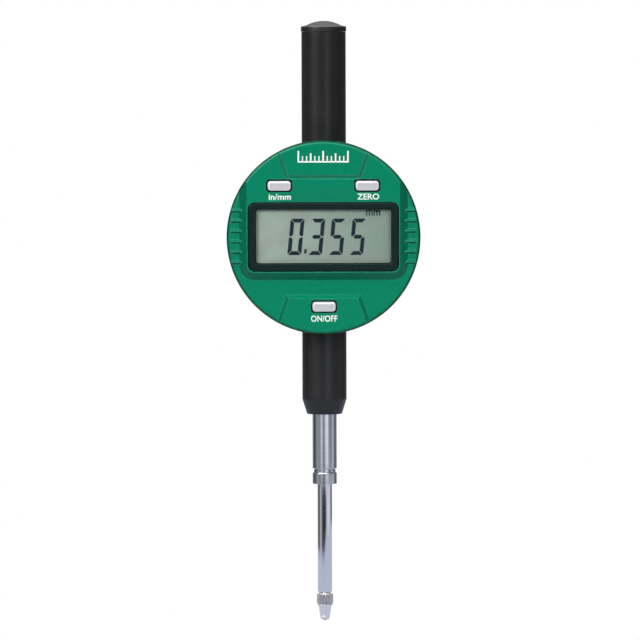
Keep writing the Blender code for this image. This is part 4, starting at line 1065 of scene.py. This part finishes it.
# Brightness of the studio by bearing, in degrees from the camera's side towards +X.
# What smooth metal low down mirrors comes from two bands of wall in front of the table's edge.
ROOM = [(-180, 0.16), (-100, 0.12), (-60, 0.07), (-6, 0.05), (8, 0.35), (18, 1.1), (28, 0.35), (42, 0.06),
        (100, 0.10), (180, 0.16)]
UPPER_WALL = [(-180, 0.25), (-133, 0.30), (-113, 0.05), (-97, 0.16), (-84, 0.42), (-60, 0.44), (-49, 0.33),
              (-39, 0.66), (-29, 1.05), (-20, 0.80), (-10, 0.28), (-2, 0.50), (10, 1.05), (24, 1.40),
              (33, 1.1), (42, 0.42), (55, 0.34), (70, 0.34), (84, 0.75), (97, 0.55), (113, 0.12), (133, 0.25),
              (180, 0.25)]
LOWER_WALL = [(-180, 0.20), (-125, 0.20), (-112, 0.16), (-88, 0.16), (-76, 0.45), (-66, 0.68), (-56, 0.40),
              (-44, 0.10), (-30, 0.05), (-10, 0.035), (6, 0.03), (16, 0.06), (27, 0.40), (37, 0.70),
              (54, 0.88), (74, 0.80), (96, 0.60), (112, 0.22), (125, 0.10), (180, 0.15)]
WALL_REACH = [(-180, 300), (-60, 262), (-4, 268), (8, 330), (30, 380), (180, 420)]     # millimetres
WALL_TOP, SIGHT_DROP = 12.0, 4.1      # millimetres, and degrees that the view of the collar looks down by
BACK_GLOW, OVERHEAD, AMBIENT = 0.05, 0.55, 0.08
FLOOR_SEEN = (0.57, 0.61, 0.74)
# Soft highlights: azimuth, elevation, and the angles where each is full and gone, then its brightness
HIGHLIGHTS = [(-42, 40, 14, 34, 2.6), (35, 52, 10, 26, 1.2)]
# A lit arc above and to the left, seen in rounded rims: where it fades out and in by the cosine of the
# angle from the dial's axis, its middle in degrees from +X towards +Z, and its brightness
ARC_OUTSIDE, ARC_INSIDE = (0.42, 0.50), (0.74, 0.68)
ARC_TURN, ARC_LEVEL = 122, 10.0


def direction(azimuth, elevation):
    """A unit vector away from the object, with its azimuth from the camera's side towards +X."""
    turn, lift = radians(azimuth), radians(elevation)
    return Vector((sin(turn) * cos(lift), -cos(turn) * cos(lift), sin(lift)))


def between(table, place):
    """The value of a table of (place, value) rows at a place, on straight lines between its rows."""
    for (x0, y0), (x1, y1) in zip(table, table[1:]):
        if x0 <= place <= x1:
            return y0 + (y1 - y0) * (place - x0) / (x1 - x0)
    return table[-1][1]


def studio_world():
    """White behind the object, soft light on it, and a dim room with bright panels in what it mirrors."""
    g = Graph("studio", "worlds")
    g.nodes.clear()
    toward = g.add("TexCoord", output="Generated")
    x, y, z = g.split(toward)
    toward_face = g.times(y, -1.0)
    bearing = g.maths("ARCTAN2", x, toward_face)
    ramp = g.nodes.new("ShaderNodeValToRGB")
    g.put(ramp.inputs["Fac"], g.range(bearing, -pi, pi))
    stops = ramp.color_ramp.elements
    stops.remove(stops[1])
    for k, (degrees, level) in enumerate(ROOM):
        stop = stops[0] if k == 0 else stops.new((degrees + 180) / 360)
        stop.position, stop.color = (degrees + 180) / 360, (level * 0.95, level * 0.98, level * 1.05, 1)
    behind = g.times(g.range(y, 0.1, 0.6, 0.0, BACK_GLOW), g.range(z, 0.02, 0.16))
    room = g.blend(1.0, ramp.outputs["Color"], behind, "ADD")
    room = g.blend(g.range(z, 0.35, 0.8), room, (OVERHEAD, OVERHEAD, OVERHEAD, 1))
    for azimuth, elevation, inner, outer, level in HIGHLIGHTS:
        aim = g.vectors("DOT_PRODUCT", toward, direction(azimuth, elevation), "Value")
        glow = g.range(aim, cos(radians(outer)), cos(radians(inner)), 0.0, level)
        room = g.blend(1.0, room, glow, "ADD")
    ring = g.times(g.range(toward_face, *ARC_OUTSIDE), g.range(toward_face, *ARC_INSIDE))
    turn = radians(ARC_TURN)
    slant = g.maths("ADD", g.times(x, cos(turn)), g.times(z, sin(turn)))
    arc = g.times(ring, g.times(g.range(slant, 0.30, 0.78), g.range(z, 0.05, 0.35)))
    room = g.blend(1.0, room, g.times(arc, ARC_LEVEL), "ADD")
    shown = g.blend(g.ray("Is Glossy Ray"), (AMBIENT, AMBIENT, AMBIENT, 1), room)
    shown = g.blend(g.ray("Is Camera Ray"), shown, (1, 1, 1, 1))
    out = g.nodes.new("ShaderNodeOutputWorld")
    g.put(out.inputs["Surface"], g.add("Background", {"Color": shown}))
    bpy.context.scene.world = g.owner


def walls_meet(reach):
    """The height on a wall at that reach which is mirrored at the foot of the stem's collar."""
    return span("stem_collar")[0].z - reach * tan(radians(SIGHT_DROP))


def studio_wall(name, low, high, levels):
    """A band of wall round the object that only reflections show, with its brightness by bearing.

    low and high give its edges' heights at a reach.
    """
    points, faces, shades = [], [], []
    step = 3
    for degrees in range(-180, 180 + step, step):
        reach, turn = between(WALL_REACH, degrees), radians(degrees)
        for height in (low(reach), high(reach)):
            points.append((reach * sin(turn), -reach * cos(turn), height))
            level = between(levels, degrees)
            shades.append((level * 0.93, level * 0.97, level * 1.06, 1.0))
    for k in range(len(points) // 2 - 1):
        faces.append((2 * k, 2 * k + 2, 2 * k + 3, 2 * k + 1))
    mesh = raw_mesh(name, points, faces)
    tint = mesh.color_attributes.new("tint", "FLOAT_COLOR", "POINT")
    for entry, shade in zip(tint.data, shades):
        entry.color = shade
    g = Graph(name)
    shade = g.add("Attribute", output="Color", attribute_name="tint")
    g.put(g.nodes["Material Output"].inputs["Surface"], g.add("Emission", {"Color": shade}))
    mesh.materials.append(g.owner)
    made = in_scene(name, mesh)
    made.visible_camera = made.visible_diffuse = made.visible_shadow = False
    made.visible_transmission = made.visible_volume_scatter = False


def floor():
    """A pale table top, level with the bottom of the contact ball."""
    level = span("contact_ball")[0].z - 0.02
    corners = [(x, y, level) for x, y in rectangle(-900, -420, 900, 700)]
    mesh = raw_mesh("table_top", corners, [(0, 1, 2, 3)])
    g = Graph("table_white")
    drift = g.blend(g.noise(60.0, 2.0), (0.60, 0.60, 0.60, 1), (0.64, 0.64, 0.64, 1))
    mesh.materials.append(g.surface(Base_Color=drift, Roughness=0.9))
    shown = g.shader.outputs[0]
    for kind, colour in (("Is Glossy Ray", FLOOR_SEEN), ("Is Camera Ray", (1, 1, 1))):
        lit = g.add("Emission", {"Color": colour4(colour)})
        shown = g.add("MixShader", {0: g.ray(kind), 1: shown, 2: lit})
    g.put(g.nodes["Material Output"].inputs["Surface"], shown)
    in_scene("table_top", mesh)
    return level


def aimed(name, data, azimuth, elevation, distance, target, roll=0.0):
    """Puts a light or camera that many metres from a target in millimetres, turned to face it."""
    made = in_scene(name, data)
    away = direction(azimuth, elevation)
    made.location = Vector(target) * MM + away * distance
    facing = away.to_track_quat("Z", "Y").to_matrix() @ Matrix.Rotation(radians(roll), 3, "Z")
    made.rotation_euler = facing.to_euler()
    return made


def softbox(name, azimuth, elevation, distance, size, power):
    light = bpy.data.lights.new(name, "AREA")
    light.shape, light.size, light.size_y = "RECTANGLE", size[0], size[1]
    light.energy = power
    aimed(name, light, azimuth, elevation, distance, LIGHT_TARGET).visible_glossy = False


LIGHT_TARGET = (0, 0, 60)
CAMERA_AZIMUTH, CAMERA_LIFT, CAMERA_DISTANCE, CAMERA_ROLL = 0.8, 2.5, 1.892, -0.16
CAMERA_TARGET = (-1.43, 0, 40.1)


def camera():
    data = bpy.data.cameras.new("camera")
    data.lens, data.sensor_width, data.clip_end = 320, 36, 20
    data.dof.use_dof = False
    where = (CAMERA_AZIMUTH, CAMERA_LIFT, CAMERA_DISTANCE, CAMERA_TARGET, CAMERA_ROLL)
    bpy.context.scene.camera = aimed("camera", data, *where)


dress_frame()
green_cover()
display_frame()
display()
prints()
keys()
rear_case()
lug_back()
plate_screws()
battery_cover()
tubes()
stem_pieces()
spindle_pieces()

studio_world()
table_level = floor()
studio_wall("lower_wall", lambda reach: table_level, walls_meet, LOWER_WALL)
studio_wall("upper_wall", walls_meet, lambda reach: WALL_TOP, UPPER_WALL)
softbox("left_light", -30, 22, 1.4, (0.5, 0.7), 11.6)
softbox("right_light", 30, 22, 1.4, (0.5, 0.7), 8.6)
softbox("top_light", -10, 62, 1.3, (0.7, 0.5), 2.8)
softbox("rear_light", 180, 35, 1.6, (1.0, 0.8), 8.0)
camera()

scene = bpy.context.scene
scene.view_settings.view_transform = "Standard"
scene.view_settings.look = "None"
